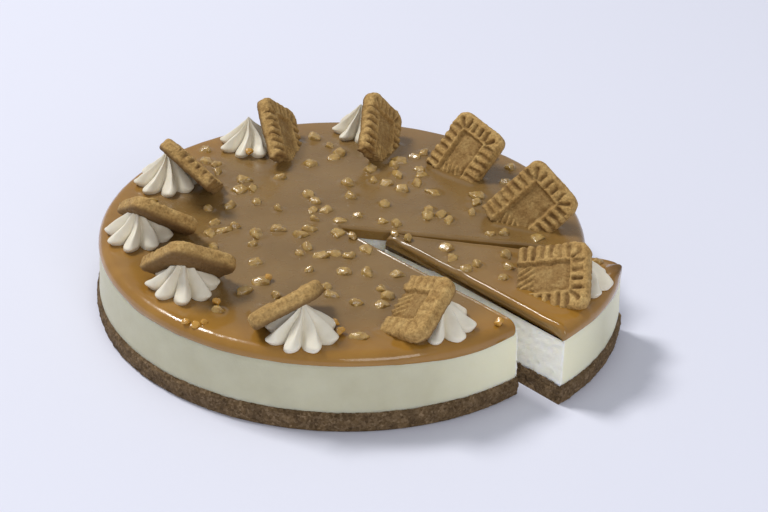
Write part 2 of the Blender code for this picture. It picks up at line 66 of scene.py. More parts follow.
# The cut: the notch in the cake and the wedge drawn out of it
NOTCH_APEX = (-0.0015, -0.0055)
NOTCH_FACES = (-46.2, -9.2)
WEDGE_SHIFT = (0.0160, -0.0087)
WEDGE_APEX = (0.0026, -0.0020)
WEDGE_FACES = (-46.9, -11.2)
WEDGE_TIP_LOSS = {"crumb_base": 0.0010, "filling": 0.0020, "caramel": 0.0030}
WEDGE_LEAN = 0.0015

# Piped cream rosettes
ROSETTE_RIDGES = 8
ROSETTE_TWIST = 28.0
RosetteRing = namedtuple("RosetteRing", "height crest valley")
ROSETTE_RINGS = (
    RosetteRing(0.0000, 0.0150, 0.0080),
    RosetteRing(0.0024, 0.0168, 0.0070),
    RosetteRing(0.0058, 0.0126, 0.0056),
    RosetteRing(0.0100, 0.0070, 0.0032),
    RosetteRing(0.0138, 0.0027, 0.0014),
    RosetteRing(0.0168, 0.0003, 0.0002),
)
ROSETTE_HEIGHT = 0.0168
Rosette = namedtuple("Rosette", "azimuth distance turn size")
ROSETTES = (
    Rosette(122, 0.0930, 4, 1.00),
    Rosette(85, 0.0990, 21, 0.97),
    Rosette(49, 0.0955, 12, 0.96),
    Rosette(12, 0.0960, 33, 1.00),
    Rosette(-27, 0.0985, 8, 0.98),
    Rosette(-66, 0.0990, 15, 0.98),
    Rosette(-99.5, 0.1005, 2, 1.02),
    Rosette(-138, 0.0930, 24, 1.03),
    Rosette(-169, 0.0955, 10, 1.02),
    Rosette(157.5, 0.0935, 29, 1.02),
)

# Half biscuits
BISCUIT_WIDTH = 0.0315
BISCUIT_THICKNESS = 0.0069
BISCUIT_CORNER = 0.0060
BORDER_WIDTH = 0.0085
PANEL_CORNER = 0.0009
BISCUIT_SINK = 0.0025
Biscuit = namedtuple("Biscuit", "x y z facing tilt turn length")
BISCUITS = (
    Biscuit(-0.0323, 0.0755, 0.0461, -9.5, 30.5, -43.5, 0.0335),
    Biscuit(0.0182, 0.0773, 0.0475, -24, 21, -49, 0.0337),
    Biscuit(0.0614, 0.0569, 0.0473, -131, 35, -14.5, 0.0330),
    Biscuit(0.0887, 0.0020, 0.0459, -111, 27, -38, 0.0364),
    Biscuit(0.0765, -0.0511, 0.0433, -132, 47, -62, 0.0330),
    Biscuit(0.0324, -0.0915, 0.0463, -165.5, 53, -54, 0.0245),
    Biscuit(-0.0233, -0.0898, 0.0463, 138.5, 50, -44, 0.0316),
    Biscuit(-0.0660, -0.0590, 0.0473, 84, 41, 36.5, 0.0335),
    Biscuit(-0.0845, -0.0161, 0.0465, 63, 45.5, 44, 0.0314),
    Biscuit(-0.0734, 0.0250, 0.0520, 30, 41.5, -47, 0.0310),
)
WEDGE_DECORATION = 4

# Toffee pieces set in the caramel
TOFFEE_SEED = 7
TOFFEE_COUNT = 92
TOFFEE_COUNT_WEDGE = 9
TOFFEE_LENGTHS = (0.0055, 0.0074, 0.0098)
TOFFEE_SLENDER = (0.62, 0.90)
TOFFEE_PROUD = (0.0020, 0.0032)
TOFFEE_REACH = 0.1040
TOFFEE_SPACING = 0.0090
TOFFEE_PAIR_SHARE = 0.30
TOFFEE_PAIR_STEP = 0.0066
TOFFEE_CLEARANCE = 0.0008
TOFFEE_POINTS = 11
TOFFEE_DEPTH = 2.2
TOFFEE_RISE = 0.1
TOFFEE_SPREAD = 1.18
TOFFEE_BEVEL = 0.12
TOFFEE_TRIES = 20000
ROSETTE_KEEP_OUT = 0.0175
WEDGE_TIP_KEEP_OUT = 0.025
Toffee = namedtuple("Toffee", "x y length width proud turn")

# Loose bits, from the cake's axis or, at the wedge's tip, from the axis that moved out with the wedge
Bit = namedtuple("Bit", "x y z size turn")
AMBER_BITS = (
    Bit(-0.0486, 0.0650, 0.0408, 0.0056, 20),
    Bit(-0.0900, -0.0183, 0.0388, 0.0052, 50),
    Bit(-0.0032, -0.0919, 0.0390, 0.0056, 15),
    Bit(-0.0006, -0.0977, 0.0388, 0.0054, 60),
    Bit(0.0203, -0.0897, 0.0387, 0.0058, 35),
    Bit(-0.0326, -0.0556, 0.0386, 0.0056, 70),
    Bit(0.0663, -0.0883, 0.0386, 0.0056, 10),
    Bit(-0.0532, -0.0766, 0.0388, 0.0054, 30),
    Bit(-0.0651, -0.0906, 0.0376, 0.0046, 0),
    Bit(-0.0607, -0.0926, 0.0370, 0.0050, 40),
    Bit(-0.0575, -0.0908, 0.0374, 0.0042, 75),
)
NOTCH_BITS = (Bit(0.0045, -0.0157, 0.0380, 0.0062, 25),)
TIP_BITS = (
    Bit(0.0080, -0.0052, 0.0385, 0.0060, 15),
    Bit(0.0139, -0.0088, 0.0385, 0.0062, 65),
)

# Relief of the biscuits' faces
RIM_ROUNDING = 0.0021
BACK_ROUNDING = 0.0019
NOTCH_PITCH = 0.0041
NOTCH_HALF_WIDTH = 0.00088
NOTCH_RELIEF = 0.0016
PANEL_RELIEF = 0.0014
HATCH_PITCH = 0.0029
HATCH_SLANT = 0.55
HATCH_REACH = 0.0085
HATCH_HEIGHT = 0.0009
BISCUIT_STEP = 0.00042
BISCUIT_SEED_STEP = 0.05
WORN_BISCUIT = 6
WORN_RELIEF = 0.40

# Unevenness of the surfaces, as layers of noise and as pits where the noise passes from low to high
Layer = namedtuple("Layer", "height size seed")
Pits = namedtuple("Pits", "depth low high size seed")
CRUMB_GRAINS = (Layer(0.00062, 0.0021, 0), Layer(0.00028, 0.0010, 3))
CRUMB_SWELL = Layer(0.00035, 0.006, 0)
CRUMB_PITS = Pits(0.0007, 0.25, 0.6, 0.0032, 5)
FILLING_RIPPLE = (Layer(0.00012, 0.009, 0), Layer(0.00005, 0.003, 1))
FILLING_TORN = (Layer(0.00020, 0.0042, 2), Layer(0.00014, 0.0016, 4))
FILLING_CUT_EDGE = (0.0003, 0.0012)
FILLING_PITS = Pits(0.00030, 0.30, 0.62, 0.0019, 6)
CARAMEL_UNEVEN = (Layer(0.00024, 0.022, 0), Layer(0.00009, 0.007, 2))
CARAMEL_WAVE = (Layer(0.00045, 0.013, 8), Layer(0.00025, 0.005, 9))
CARAMEL_DRIPS = Layer(0.0004, 0.008, 11)
CARAMEL_SMEAR = Layer(0.0004, 0.008, 5)
BISCUIT_SHAKE = (Layer(0.00050, 0.0032, 1), Layer(0.00050, 0.0032, 2))
BISCUIT_DIMPLES = Layer(0.0003, 0.0040, 6)
BISCUIT_GRAIN = (Layer(0.00016, 0.0016, 0), Layer(0.00010, 0.0008, 1))
BISCUIT_LUMPS = Layer(0.00034, 0.0030, 9)
BISCUIT_SWELL = Layer(0.00022, 0.009, 6)
BISCUIT_PORES = Pits(0.00040, 0.42, 0.66, 0.00125, 2)
BISCUIT_HOLES = Pits(0.0006, 0.50, 0.72, 0.0026, 3)
BROKEN_ROUGH = (Layer(0.00050, 0.0022, 4), Layer(0.00034, 0.0010, 5))
BROKEN_JAG = (Layer(0.0008, 0.0055, 7), Layer(0.0005, 0.0018, 8))
CREAM_LUMPS = 0.00022
CREAM_LUMP_SIZE = 0.0040
CREAM_BEND = 0.0011
CREAM_BEND_SIZE = 0.012

# Spacing of the meshes' points
MERGE_DISTANCE = 0.000008
CRUMB_STEP = 0.00055
FILLING_STEP = 0.0008
CUT_STEP = 0.0008
CARAMEL_STEP = 0.0011
CARAMEL_CUT_STEP = 0.0004
CARAMEL_COLUMNS = 121
CARAMEL_RIM_COLUMNS = 10
CARAMEL_WALL_ROWS = 8
BISCUIT_EDGE_ROWS = 11
ROSETTE_STEPS = 22
ROSETTE_LEVELS = 40

# The caramel's edges where it was cut
NOTCH_CORNER = 0.0024
SLICE_CORNER = 0.0012
CUT_LIP = 0.0009
SLICE_LIP = 0.0016
TIP_LIP = 0.0030
SLICE_BULGE = 0.0004
CUT_THINNING = 0.0005
SLICE_THINNING = 0.0024
NOTCH_RETREAT = 0.0007

# Humps in the caramel and in the biscuits' panels: height, width and distance of the middle
CUT_BEAD = (0.00048, 0.0008, 0.0014)
TIP_HUMP = (0.0008, 0.0028, 0.0050)
TIP_DROOP = (0.0012, 0.0060, 0.0045)
TIP_DROOP_FADE = 0.0030
TIP_SAG = (0.0014, 0.004)
TOFFEE_MENISCUS = (0.00050, 0.0011)
BISCUIT_MENISCUS = (0.00080, 0.0014)
PANEL_MOAT = (0.0005, 0.0007, 0.0012)

# The orange band of the cake's rim is the caramel's warmer tone there; it is strongest round this azimuth and
# fades on the far side as painted reflection, standing in for the sky that greys the far caramel
RIM_TINT_AZIMUTH = -140
RIM_TINT_LEAST = 0.30

# The flap of caramel that stands up at the drawn-out wedge's far corner
FLAP_AZIMUTH = -17.9
FLAP_DISTANCE = 0.1097
FLAP_SIZE = (0.0075, 0.0125, 0.0032)
FLAP_CURL = 0.8
FLAP_SAG = 0.0034
FLAP_SAG_HALF_WIDTH = 6.5
CORNER_DROOP = 0.0016
CORNER_DROOP_REACH = 0.0070

# The photograph's camera, as fitted to the cake's rims
CAMERA_DISTANCE = 0.7267
CAMERA_ELEVATION = 31.2435
CAMERA_ROLL = 1.9611
CAMERA_AIM = Vector((0.0207, 0.0322, 0.0))
CAMERA_LENS = 70.3125

# Daylight from a window behind on the left, a weak fill from the front and a pale bluish table
Lamp = namedtuple("Lamp", "name location size power colour")
LAMPS = (
    Lamp("window", (-1.4, 0.8, 2.4), (0.8, 0.6), 54.0, (1.0, 0.98, 0.95)),
    Lamp("front_fill", (0.7, -2.0, 1.0), (1.2, 0.9), 13.0, (1.0, 0.99, 0.97)),
)
LAMP_TARGET = (0, 0, 0.02)
SKY_COLOUR = (0.93, 0.95, 1.0, 1.0)
SKY_STRENGTH = 0.44
FLOOR_COLOUR = (0.765, 0.785, 0.905, 1.0)
FLOOR_REACH = 2.5


def polar(azimuth, distance):
    """The point at an azimuth in degrees and a distance from the axis."""
    angle = math.radians(azimuth)
    return Vector((distance * math.cos(angle), distance * math.sin(angle)))


def reach_from(apex, azimuth, radius):
    """The distance from a point along an azimuth to the circle of a radius round the axis."""
    along = polar(azimuth, 1.0).dot(apex)
    return math.sqrt(along * along - apex.length_squared + radius * radius) - along


def cake_centre():
    """The cake's axis, in a frame that is centred between the cake's left end and the wedge's right end."""
    apex = Vector(WEDGE_APEX)
    corner = apex + polar(WEDGE_FACES[1], reach_from(apex, WEDGE_FACES[1], BASE_RADIUS))
    return Vector((-(WEDGE_SHIFT[0] + corner.x - BASE_RADIUS) / 2, 0.0, 0.0))


CENTRE = cake_centre()
WEDGE_CENTRE = CENTRE + Vector((*WEDGE_SHIFT, 0.0))


# Points times FLAT lose their height, so that noise is the same all the way down
FLAT = (1, 1, 0)


def smooth_step(low, high, value):
    share = np.clip((value - low) / (high - low), 0.0, 1.0)
    return share * share * (3 - 2 * share)


def hump(value, height, width, middle=0.0):
    """A smooth hump of that height at the middle, that falls off over the width."""
    return height * np.exp(-((value - middle) / width) ** 2)


def noise_at(points, size, seed=0.0):
    """Smooth noise from about -1 to 1 at each point, with features of that size in metres."""
    offset = Vector((seed * 7.31, seed * 3.17, seed * 5.73))
    values = [noise.noise(Vector(point) / size + offset) for point in points.reshape(-1, 3)]
    return np.array(values).reshape(points.shape[:-1])


def uneven(points, *layers):
    """Layers of noise added up."""
    return sum(layer.height * noise_at(points, layer.size, layer.seed) for layer in layers)


def hollows(points, pits):
    """How deep each point lies in the small pits of a surface."""
    return pits.depth * smooth_step(pits.low, pits.high, noise_at(points, pits.size, pits.seed))


def cell_distance(points, size, seed=0.0):
    """Distance to the nearest cell centre at each point, in cells of that size."""
    offset = Vector((seed * 5.11, seed * 2.71, seed * 9.37))
    return np.array([noise.voronoi(Vector(point) / size + offset)[0][0] for point in points])


def carried(points, matrix):
    """The points moved by a matrix, one row each."""
    matrix = np.array(matrix)
    return points @ matrix[:3, :3].T + matrix[:3, 3]


def sag_at(azimuth):
    """How far the caramel's lower edge hangs down at an azimuth in degrees."""
    waviness = 0.00035 * math.sin(math.radians(azimuth * 5 + 30))
    waviness += 0.0002 * math.sin(math.radians(azimuth * 13))
    depth = max(0.0, waviness)
    for sag in SAGS:
        offset = (azimuth - sag.azimuth + 180) % 360 - 180
        depth += sag.depth * math.exp(-(offset / sag.half_width) ** 2)
    return depth


def grid_quads(rows, cols, start):
    """The faces of a grid of vertices that are numbered row by row."""
    quads = []
    for row in range(rows - 1):
        base = start + row * cols
        for col in range(base, base + cols - 1):
            quads.append((col, col + 1, col + cols + 1, col + cols))
    return quads


def closed_mesh(name, patches, caps=()):
    """One closed mesh from grids whose edges meet, and from flat caps that follow those edges."""
    points = []
    faces = []
    for patch in patches:
        rows, cols = patch.shape[:2]
        faces.extend(grid_quads(rows, cols, len(points)))
        points.extend(patch.reshape(-1, 3).tolist())
    for cap in caps:
        faces.append(tuple(range(len(points), len(points) + len(cap))))
        points.extend(cap.tolist())
    mesh = bpy.data.meshes.new(name)
    mesh.from_pydata(points, [], faces)
    body = bmesh.new()
    body.from_mesh(mesh)
    bmesh.ops.remove_doubles(body, verts=body.verts, dist=MERGE_DISTANCE)
    bmesh.ops.recalc_face_normals(body, faces=body.faces)
    body.to_mesh(mesh)
    body.free()
    return mesh


def fan_caps(inner, outer, first_edge, last_edge):
    """Flat pieces that spread from the apex; the first and the last follow the edges of the cut faces."""
    pieces = []
    last = len(outer) - 2
    for index in range(last + 1):
        near = first_edge if index == 0 else np.stack([inner[index], outer[index]])
        far = last_edge if index == last else np.stack([inner[index + 1], outer[index + 1]])
        ring = np.concatenate([near, far[::-1]])
        step_length = np.linalg.norm(ring - np.roll(ring, 1, axis=0), axis=1)
        pieces.append(ring[step_length > 0.00001])
    return pieces


def mesh_points(mesh, kind="co"):
    """The place of every vertex, or its normal, one row each."""
    values = np.empty(len(mesh.vertices) * 3)
    mesh.vertices.foreach_get(kind, values)
    return values.reshape(-1, 3)


def set_points(mesh, points):
    mesh.vertices.foreach_set("co", points.reshape(-1))
    mesh.update()


def push_out(mesh, amount):
    """Moves every vertex along its normal."""
    set_points(mesh, mesh_points(mesh) + mesh_points(mesh, "normal") * amount[:, None])


def paint(mesh, name, values):
    """Stores one number per vertex for the material to read."""
    layer = mesh.attributes.new(name, "FLOAT", "POINT")
    layer.data.foreach_set("value", np.asarray(values, dtype=np.float32))


def add_object(name, data):
    item = bpy.data.objects.new(name, data)
    bpy.context.scene.collection.objects.link(item)
    return item


def add_piece(name, mesh, material, node):
    """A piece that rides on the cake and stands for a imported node."""
    mesh.shade_smooth()
    piece = add_object(name, mesh)
    mesh.materials.append(material)
    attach(piece, "root")
    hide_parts(node)
    return piece


class Sector:
    """The plan of a layer: a sector of the round cake seen from the apex of its cut."""

    def __init__(self, centre, apex, start, end, tip_loss=0.0):
        self.centre = np.array(centre[:2])
        self.apex = self.centre + np.array(apex)
        self.start = math.radians(start)
        self.end = math.radians(end)
        self.tip_loss = tip_loss

    def angles(self, step, edge_step):
        """Directions from one cut face to the other, closer together beside the faces."""
        near = []
        angle = 0.0
        width = edge_step
        while width < step:
            near.append(angle)
            angle += width
            width *= 1.25
        count = max(2, round((self.end - self.start - 2 * angle) / step))
        middle = np.linspace(self.start + angle, self.end - angle, count + 1)
        return np.concatenate([self.start + np.array(near), middle, self.end - np.array(near[::-1])])

    def outer(self, angle, radius):
        """The distance from the apex to the circle of a radius round the cake's axis."""
        away = self.apex - self.centre
        half = away[0] * np.cos(angle) + away[1] * np.sin(angle)
        return -half + np.sqrt(half * half - away @ away + radius * radius)

    def inner(self, angle):
        """The distance from the apex to the blunt tip."""
        if not self.tip_loss:
            return np.zeros_like(angle)
        middle = (self.start + self.end) / 2
        return self.tip_loss * math.cos((self.end - self.start) / 2) / np.cos(angle - middle)

    def place(self, angle, distance, height):
        """Points from direction, distance and height, all of one shape."""
        angle, distance, height = np.broadcast_arrays(angle, distance, height)
        x = self.apex[0] + np.cos(angle) * distance
        y = self.apex[1] + np.sin(angle) * distance
        return np.stack([x, y, height], axis=-1)

    def from_faces(self, points):
        """How far each point lies from the nearer cut face."""
        offset = points[..., :2] - self.apex
        first = offset[..., 1] * math.cos(self.start) - offset[..., 0] * math.sin(self.start)
        last = offset[..., 0] * math.sin(self.end) - offset[..., 1] * math.cos(self.end)
        if self.end - self.start > math.pi:
            along_first = offset[..., 0] * math.cos(self.start) + offset[..., 1] * math.sin(self.start)
            along_last = offset[..., 0] * math.cos(self.end) + offset[..., 1] * math.sin(self.end)
            first = np.where(along_first > 0, np.abs(first), np.hypot(first, along_first))
            last = np.where(along_last > 0, np.abs(last), np.hypot(last, along_last))
        return np.minimum(np.abs(first), np.abs(last))

    def face_normal(self, side):
        """The level direction that points out of the food at the first or last cut face."""
        angle = self.start if side == 0 else self.end
        sign = 1 if side == 0 else -1
        return np.array([math.sin(angle), -math.cos(angle)]) * sign

    def from_axis(self, points):
        offset = points[..., :2] - self.centre
        return np.hypot(offset[..., 0], offset[..., 1])

    def azimuth(self, points):
        offset = points[..., :2] - self.centre
        return np.degrees(np.arctan2(offset[..., 1], offset[..., 0]))


def dense_profile(profile, step):
    """A profile of (radius, height) points with more points between them."""
    points = [profile[0]]
    for (r0, z0), (r1, z1) in zip(profile, profile[1:]):
        count = max(1, round(math.hypot(r1 - r0, z1 - z0) / step))
        points += [(r0 + (r1 - r0) * k / count, z0 + (z1 - z0) * k / count) for k in range(1, count + 1)]
    return np.array(points)


def plain_layer(name, sector, profile, step):
    """A layer with upright cut faces: rim and faces as fine grids, top and underside as caps."""
    rim = dense_profile(profile, step)
    radii, heights = rim[:, 0], rim[:, 1]
    angles = sector.angles(step / BASE_RADIUS, CUT_STEP)
    outer = sector.outer(angles[:, None], radii[None, :])
    wall = sector.place(angles[:, None], outer, heights[None, :])
    tip = sector.place(angles[:, None], sector.inner(angles)[:, None], heights[None, :])
    faces = []
    for angle in (sector.start, sector.end):
        start = float(sector.inner(angle))
        count = round((BASE_RADIUS - start) / step)
        share = np.linspace(0.0, 1.0, count + 1)
        distance = start + (sector.outer(angle, radii)[None, :] - start) * share[:, None]
        faces.append(sector.place(angle, distance, heights[None, :]))
    caps = []
    for row in (0, -1):
        caps += fan_caps(tip[:, row], wall[:, row], faces[0][:, row], faces[1][:, row])
    patches = [wall, *faces]
    if sector.tip_loss:
        patches.append(tip)
    return closed_mesh(name, patches, caps)


def lean_out(mesh, sector, amount):
    """Slants a wedge's first cut face, so that its foot stands out past its top."""
    points = mesh_points(mesh)
    outward = sector.face_normal(0)
    inside = -((points[:, :2] - sector.apex) @ outward)
    shift = amount * (1 - points[:, 2] / FILLING_TOP) * np.exp(-np.abs(inside) / 0.004)
    points[:, :2] += shift[:, None] * outward
    set_points(mesh, points)


def build_crumb(name, sector, material, node):
    """The crumb base: packed crumbs of 1 to 3 mm with pits between them."""
    profile = [
        (BASE_RADIUS - 0.0012, 0.0),
        (BASE_RADIUS - 0.0004, 0.0008),
        (BASE_RADIUS, BASE_TOP / 2),
        (BASE_RADIUS - 0.0003, BASE_TOP - 0.0014),
        (BASE_RADIUS - 0.0016, BASE_TOP),
    ]
    mesh = plain_layer(name, sector, profile, CRUMB_STEP)
    points = mesh_points(mesh)
    bumps = 0.0
    for grain in CRUMB_GRAINS:
        bumps += grain.height * (0.45 - cell_distance(points, grain.size, grain.seed))
    bumps += uneven(points, CRUMB_SWELL) - hollows(points, CRUMB_PITS)
    above_floor = smooth_step(0.0, 0.0012, points[:, 2])
    below_top = 1 - 0.8 * smooth_step(BASE_TOP - 0.0006, BASE_TOP, points[:, 2])
    push_out(mesh, bumps * above_floor * below_top)
    if sector.tip_loss:
        lean_out(mesh, sector, WEDGE_LEAN)
    return add_piece(name, mesh, material, node)


def build_filling(name, sector, material, node):
    """The filling: smooth where it met the tin, torn and porous where it was cut."""
    top = FILLING_TOP + (SLICE_THINNING + 0.0003 if sector.tip_loss else 0.0008)
    profile = [
        (FILLING_RADIUS, BASE_TOP - 0.0004),
        (FILLING_RADIUS, BASE_TOP + 0.0011),
        (FILLING_TOP_RADIUS, FILLING_TOP - 0.0004),
        (FILLING_TOP_RADIUS - 0.0002, top),
    ]
    mesh = plain_layer(name, sector, profile, FILLING_STEP)
    points = mesh_points(mesh)
    near_cut = 1 - smooth_step(*FILLING_CUT_EDGE, sector.from_faces(points))
    if sector.tip_loss:
        tip = np.hypot(*(points[:, :2] - sector.apex).T)
        near_cut = np.maximum(near_cut, 1 - smooth_step(sector.tip_loss, sector.tip_loss + 0.0015, tip))
    ripple = uneven(points * (1, 1, 0.4), FILLING_RIPPLE[0]) + uneven(points, FILLING_RIPPLE[1])
    torn = uneven(points * (1, 1, 1.8), FILLING_TORN[0]) + uneven(points, FILLING_TORN[1])
    relief = ripple * (1 - near_cut) + (torn - hollows(points, FILLING_PITS)) * near_cut
    under_caramel = smooth_step(FILLING_TOP - 0.0020, FILLING_TOP - 0.0006, points[:, 2])
    push_out(mesh, relief * (1 - under_caramel) - 0.0003 * under_caramel)
    if sector.tip_loss:
        lean_out(mesh, sector, WEDGE_LEAN)
    paint(mesh, "cut", near_cut)
    # Painted light: the side is paler towards the cut faces, as if light shone through the filling from the
    # cuts
    paint(mesh, "painted_light_near_cuts", 1 - smooth_step(0.0, 0.055, sector.from_faces(points)))
    return add_piece(name, mesh, material, node)


def rounded_drop(distance, radius):
    """How far a rounded edge lies below the flat top at a distance from the edge."""
    inside = np.clip(distance / radius, 0.0, 1.0)
    return radius * (1 - np.sqrt(np.clip(1 - (1 - inside) ** 2, 0.0, 1.0)))


def meniscus(points, toffees, biscuits, centre):
    """How far the caramel creeps up round the pieces that stand in it."""
    rise = np.zeros(len(points))
    for toffee in toffees:
        away = np.hypot(points[:, 0] - centre.x - toffee.x, points[:, 1] - centre.y - toffee.y)
        gap = np.maximum(away - 0.40 * toffee.length, 0.0)
        rise = np.maximum(rise, hump(gap, *TOFFEE_MENISCUS))
    for biscuit in biscuits:
        back = (Matrix.Translation(centre) @ biscuit_matrix(biscuit)).inverted()
        local = np.abs(carried(points, back))
        half = np.array([BISCUIT_WIDTH, biscuit.length, BISCUIT_THICKNESS]) / 2
        gap = np.linalg.norm(np.maximum(local - half, 0.0), axis=1)
        rise = np.maximum(rise, hump(gap, *BISCUIT_MENISCUS))
    return rise


def hanging_strip(edge, floor, inward, tuck):
    """A strip that goes down from an edge of the caramel's top to its underside."""
    rows = np.linspace(0.0, 1.0, CARAMEL_WALL_ROWS)
    strip = np.repeat(edge[:, None, :], len(rows), axis=1)
    strip[..., 2] = edge[:, 2, None] + (floor - edge[:, 2])[:, None] * rows[None, :]
    strip[..., :2] += inward[:, None, :] * (tuck * rows ** 2)[:, :, None]
    return strip


def caramel_mesh(name, sector, corner, bulge, standing):
    """The caramel: rounded rim, soft cut edges, slightly uneven top and a sagging lower edge."""
    rim_inset = CARAMEL_FILLET * (1 - np.cos(np.linspace(math.pi / 2, 0.0, CARAMEL_RIM_COLUMNS)))
    angles = sector.angles(CARAMEL_STEP / CARAMEL_RADIUS, CARAMEL_CUT_STEP)
    start = sector.inner(angles)
    outer = sector.outer(angles, CARAMEL_RADIUS)
    middle = (sector.start + sector.end) / 2
    half = (sector.end - sector.start) / 2
    beside = (half - np.abs(angles - middle)) * outer
    outer = outer - rounded_drop(beside, corner)
    share = np.linspace(0.0, 1.0, CARAMEL_COLUMNS + 1)[:-1]
    inner_part = start[:, None] + (outer - CARAMEL_FILLET - start)[:, None] * share[None, :]
    rim_part = outer[:, None] - rim_inset[None, :]
    distance = np.concatenate([inner_part, rim_part], axis=1)
    top = sector.place(angles[:, None], distance, 0.0)
    from_rim = outer[:, None] - distance
    from_face = sector.from_faces(top)
    first_half = (angles < middle)[:, None]
    lip = CUT_LIP
    if sector.tip_loss:
        lip = SLICE_LIP * (0.45 + 0.55 * smooth_step(0.004, 0.022, distance))
        lip = lip * (1 + 0.25 * noise_at(top * FLAT, 0.010, 12))
    cut_drop = np.where(first_half, rounded_drop(from_face, lip), rounded_drop(from_face, CUT_LIP))
    top[..., 2] = CARAMEL_TOP - rounded_drop(from_rim, CARAMEL_FILLET) - cut_drop
    top[..., 2] += uneven(top, *CARAMEL_UNEVEN)
    top[..., 2] += hump(from_face, *CUT_BEAD)
    top[..., 2] += meniscus(top.reshape(-1, 3), *standing).reshape(top.shape[:2])
    if sector.tip_loss:
        from_tip = distance - start[:, None]
        top[..., 2] += hump(from_tip, *TIP_HUMP)
        top[..., 2] -= rounded_drop(from_tip, TIP_LIP)

    wave = uneven(top * FLAT, *CARAMEL_WAVE)
    near = np.exp(-from_face / 0.0022) * smooth_step(0.0, 0.006, distance)
    for side, here in ((0, first_half), (1, ~first_half)):
        push = (wave + bulge[side]) * near * here
        top[..., :2] += sector.face_normal(side) * push[..., None]
    if sector.tip_loss:
        droop = hump(distance, *TIP_DROOP) * np.exp(-from_face / TIP_DROOP_FADE)
        top[..., :2] += sector.face_normal(0) * droop[..., None]

    azimuth = sector.azimuth(top)
    sag = np.vectorize(sag_at)(azimuth)
    if sector.tip_loss:
        sag += hump(azimuth, FLAP_SAG, FLAP_SAG_HALF_WIDTH, FLAP_AZIMUTH)
    drips = np.maximum(uneven(top * FLAT, CARAMEL_DRIPS), 0.0)
    hanging = smooth_step(SAG_START, CARAMEL_RADIUS - 0.001, sector.from_axis(top))
    low = FILLING_TOP - 0.0001 - (sag + drips) * hanging
    thinning = np.where(first_half & bool(sector.tip_loss), SLICE_THINNING, CUT_THINNING)
    smear = uneven(top * FLAT, CARAMEL_SMEAR) - thinning
    low -= smear * (from_face < 0.0001) * smooth_step(0.0, 0.004, from_rim)
    if sector.tip_loss:
        low -= hump(from_tip, *TIP_SAG) * (1 + 0.5 * wave / 0.0005)

    to_apex = sector.apex - top[:, -1, :2]
    to_apex /= np.linalg.norm(to_apex, axis=1)[:, None]
    side_wall = hanging_strip(top[:, -1], low[:, -1], to_apex, np.full((len(angles), 1), 0.0004))
    faces = []
    for side, row in ((0, 0), (1, -1)):
        edge = top[row]
        inward = np.repeat(-sector.face_normal(side)[None, :], len(edge), axis=0)
        back = (wave[row] + bulge[side]) * smooth_step(0.0, 0.006, distance[row])
        strip = hanging_strip(edge, low[row], inward, back[:, None])
        strip[-1] = side_wall[row]
        faces.append(strip)
    tip = hanging_strip(top[:, 0], low[:, 0], np.zeros((len(angles), 2)), np.zeros((len(angles), 1)))
    for strip, row in zip(faces, (0, -1)):
        strip[0] = tip[row]
    patches = [top, side_wall, *faces]
    if sector.tip_loss:
        patches.append(tip)
    caps = fan_caps(tip[:, -1], side_wall[:, -1], faces[0][:, -1], faces[1][:, -1])
    return closed_mesh(name, patches, caps)


def build_caramel(name, sector, material, node, corner, bulge, standing):
    mesh = caramel_mesh(name, sector, corner, bulge, standing)
    if sector.tip_loss:
        paint(mesh, "flap", lift_corner(mesh))
    points = mesh_points(mesh)
    rim_start = 0.030 if sector.tip_loss else 0.080
    rim = smooth_step(rim_start, CARAMEL_RADIUS, sector.from_axis(points))
    # Painted reflection: the rim's orange fades on the far side, standing in for the sky's reflection that
    # greys the caramel there
    if not sector.tip_loss:
        facing = np.cos(np.radians(sector.azimuth(points) - RIM_TINT_AZIMUTH))
        rim *= RIM_TINT_LEAST + (1 - RIM_TINT_LEAST) * smooth_step(-0.7, 0.1, facing)
    paint(mesh, "rim", rim)
    upright = 1 - smooth_step(0.25, 0.75, np.abs(mesh_points(mesh, "normal")[:, 2]))
    cut = upright * (1 - smooth_step(0.0004, 0.0025, sector.from_faces(points)))
    paint(mesh, "cut", cut)
    return add_piece(name, mesh, material, node)


def lift_corner(mesh):
    """Raises the flap of caramel at the drawn-out wedge's far corner; returns how far each point is in it."""
    points = mesh_points(mesh)
    place = polar(FLAP_AZIMUTH, FLAP_DISTANCE)
    outward = polar(FLAP_AZIMUTH, 1.0)
    x = points[:, 0] - WEDGE_CENTRE.x - place.x
    y = points[:, 1] - WEDGE_CENTRE.y - place.y
    radial = (x * outward.x + y * outward.y) / (FLAP_SIZE[0] / 2)
    sideways = (y * outward.x - x * outward.y) / (FLAP_SIZE[1] / 2)
    height = FLAP_SIZE[2] * np.exp(-(radial ** 2 + sideways ** 2) ** 2)
    height *= 1 + 0.45 * noise_at(points, 0.0035, 3)
    upper = smooth_step(CARAMEL_TOP - 0.0040, CARAMEL_TOP - 0.0010, points[:, 2])
    corner = polar(WEDGE_FACES[1], CARAMEL_RADIUS)
    from_corner = np.hypot(points[:, 0] - WEDGE_CENTRE.x - corner.x, points[:, 1] - WEDGE_CENTRE.y - corner.y)
    droop = hump(from_corner, 1.0, CORNER_DROOP_REACH)
    points[:, 2] += (height - CORNER_DROOP * droop) * upper
    points[:, :2] += FLAP_CURL * (height * upper)[:, None] * np.array(outward)
    set_points(mesh, points)
    return np.clip(np.maximum(height / FLAP_SIZE[2], droop), 0.0, 1.0)


def biscuit_matrix(biscuit):
    """Local X across the biscuit, Y to its rounded end, Z out of its ridged face."""
    facing = math.radians(biscuit.facing)
    tilt = math.radians(biscuit.tilt)
    turn = math.radians(biscuit.turn)
    out = Vector((math.cos(tilt) * math.cos(facing), math.cos(tilt) * math.sin(facing), math.sin(tilt)))
    up = Vector((-math.sin(tilt) * math.cos(facing), -math.sin(tilt) * math.sin(facing), math.cos(tilt)))
    side = up.cross(out)
    across = math.cos(turn) * side + math.sin(turn) * up
    along = -math.sin(turn) * side + math.cos(turn) * up
    rotation = Matrix((across, along, out)).transposed()
    return Matrix.Translation((biscuit.x, biscuit.y, biscuit.z)) @ rotation.to_4x4()


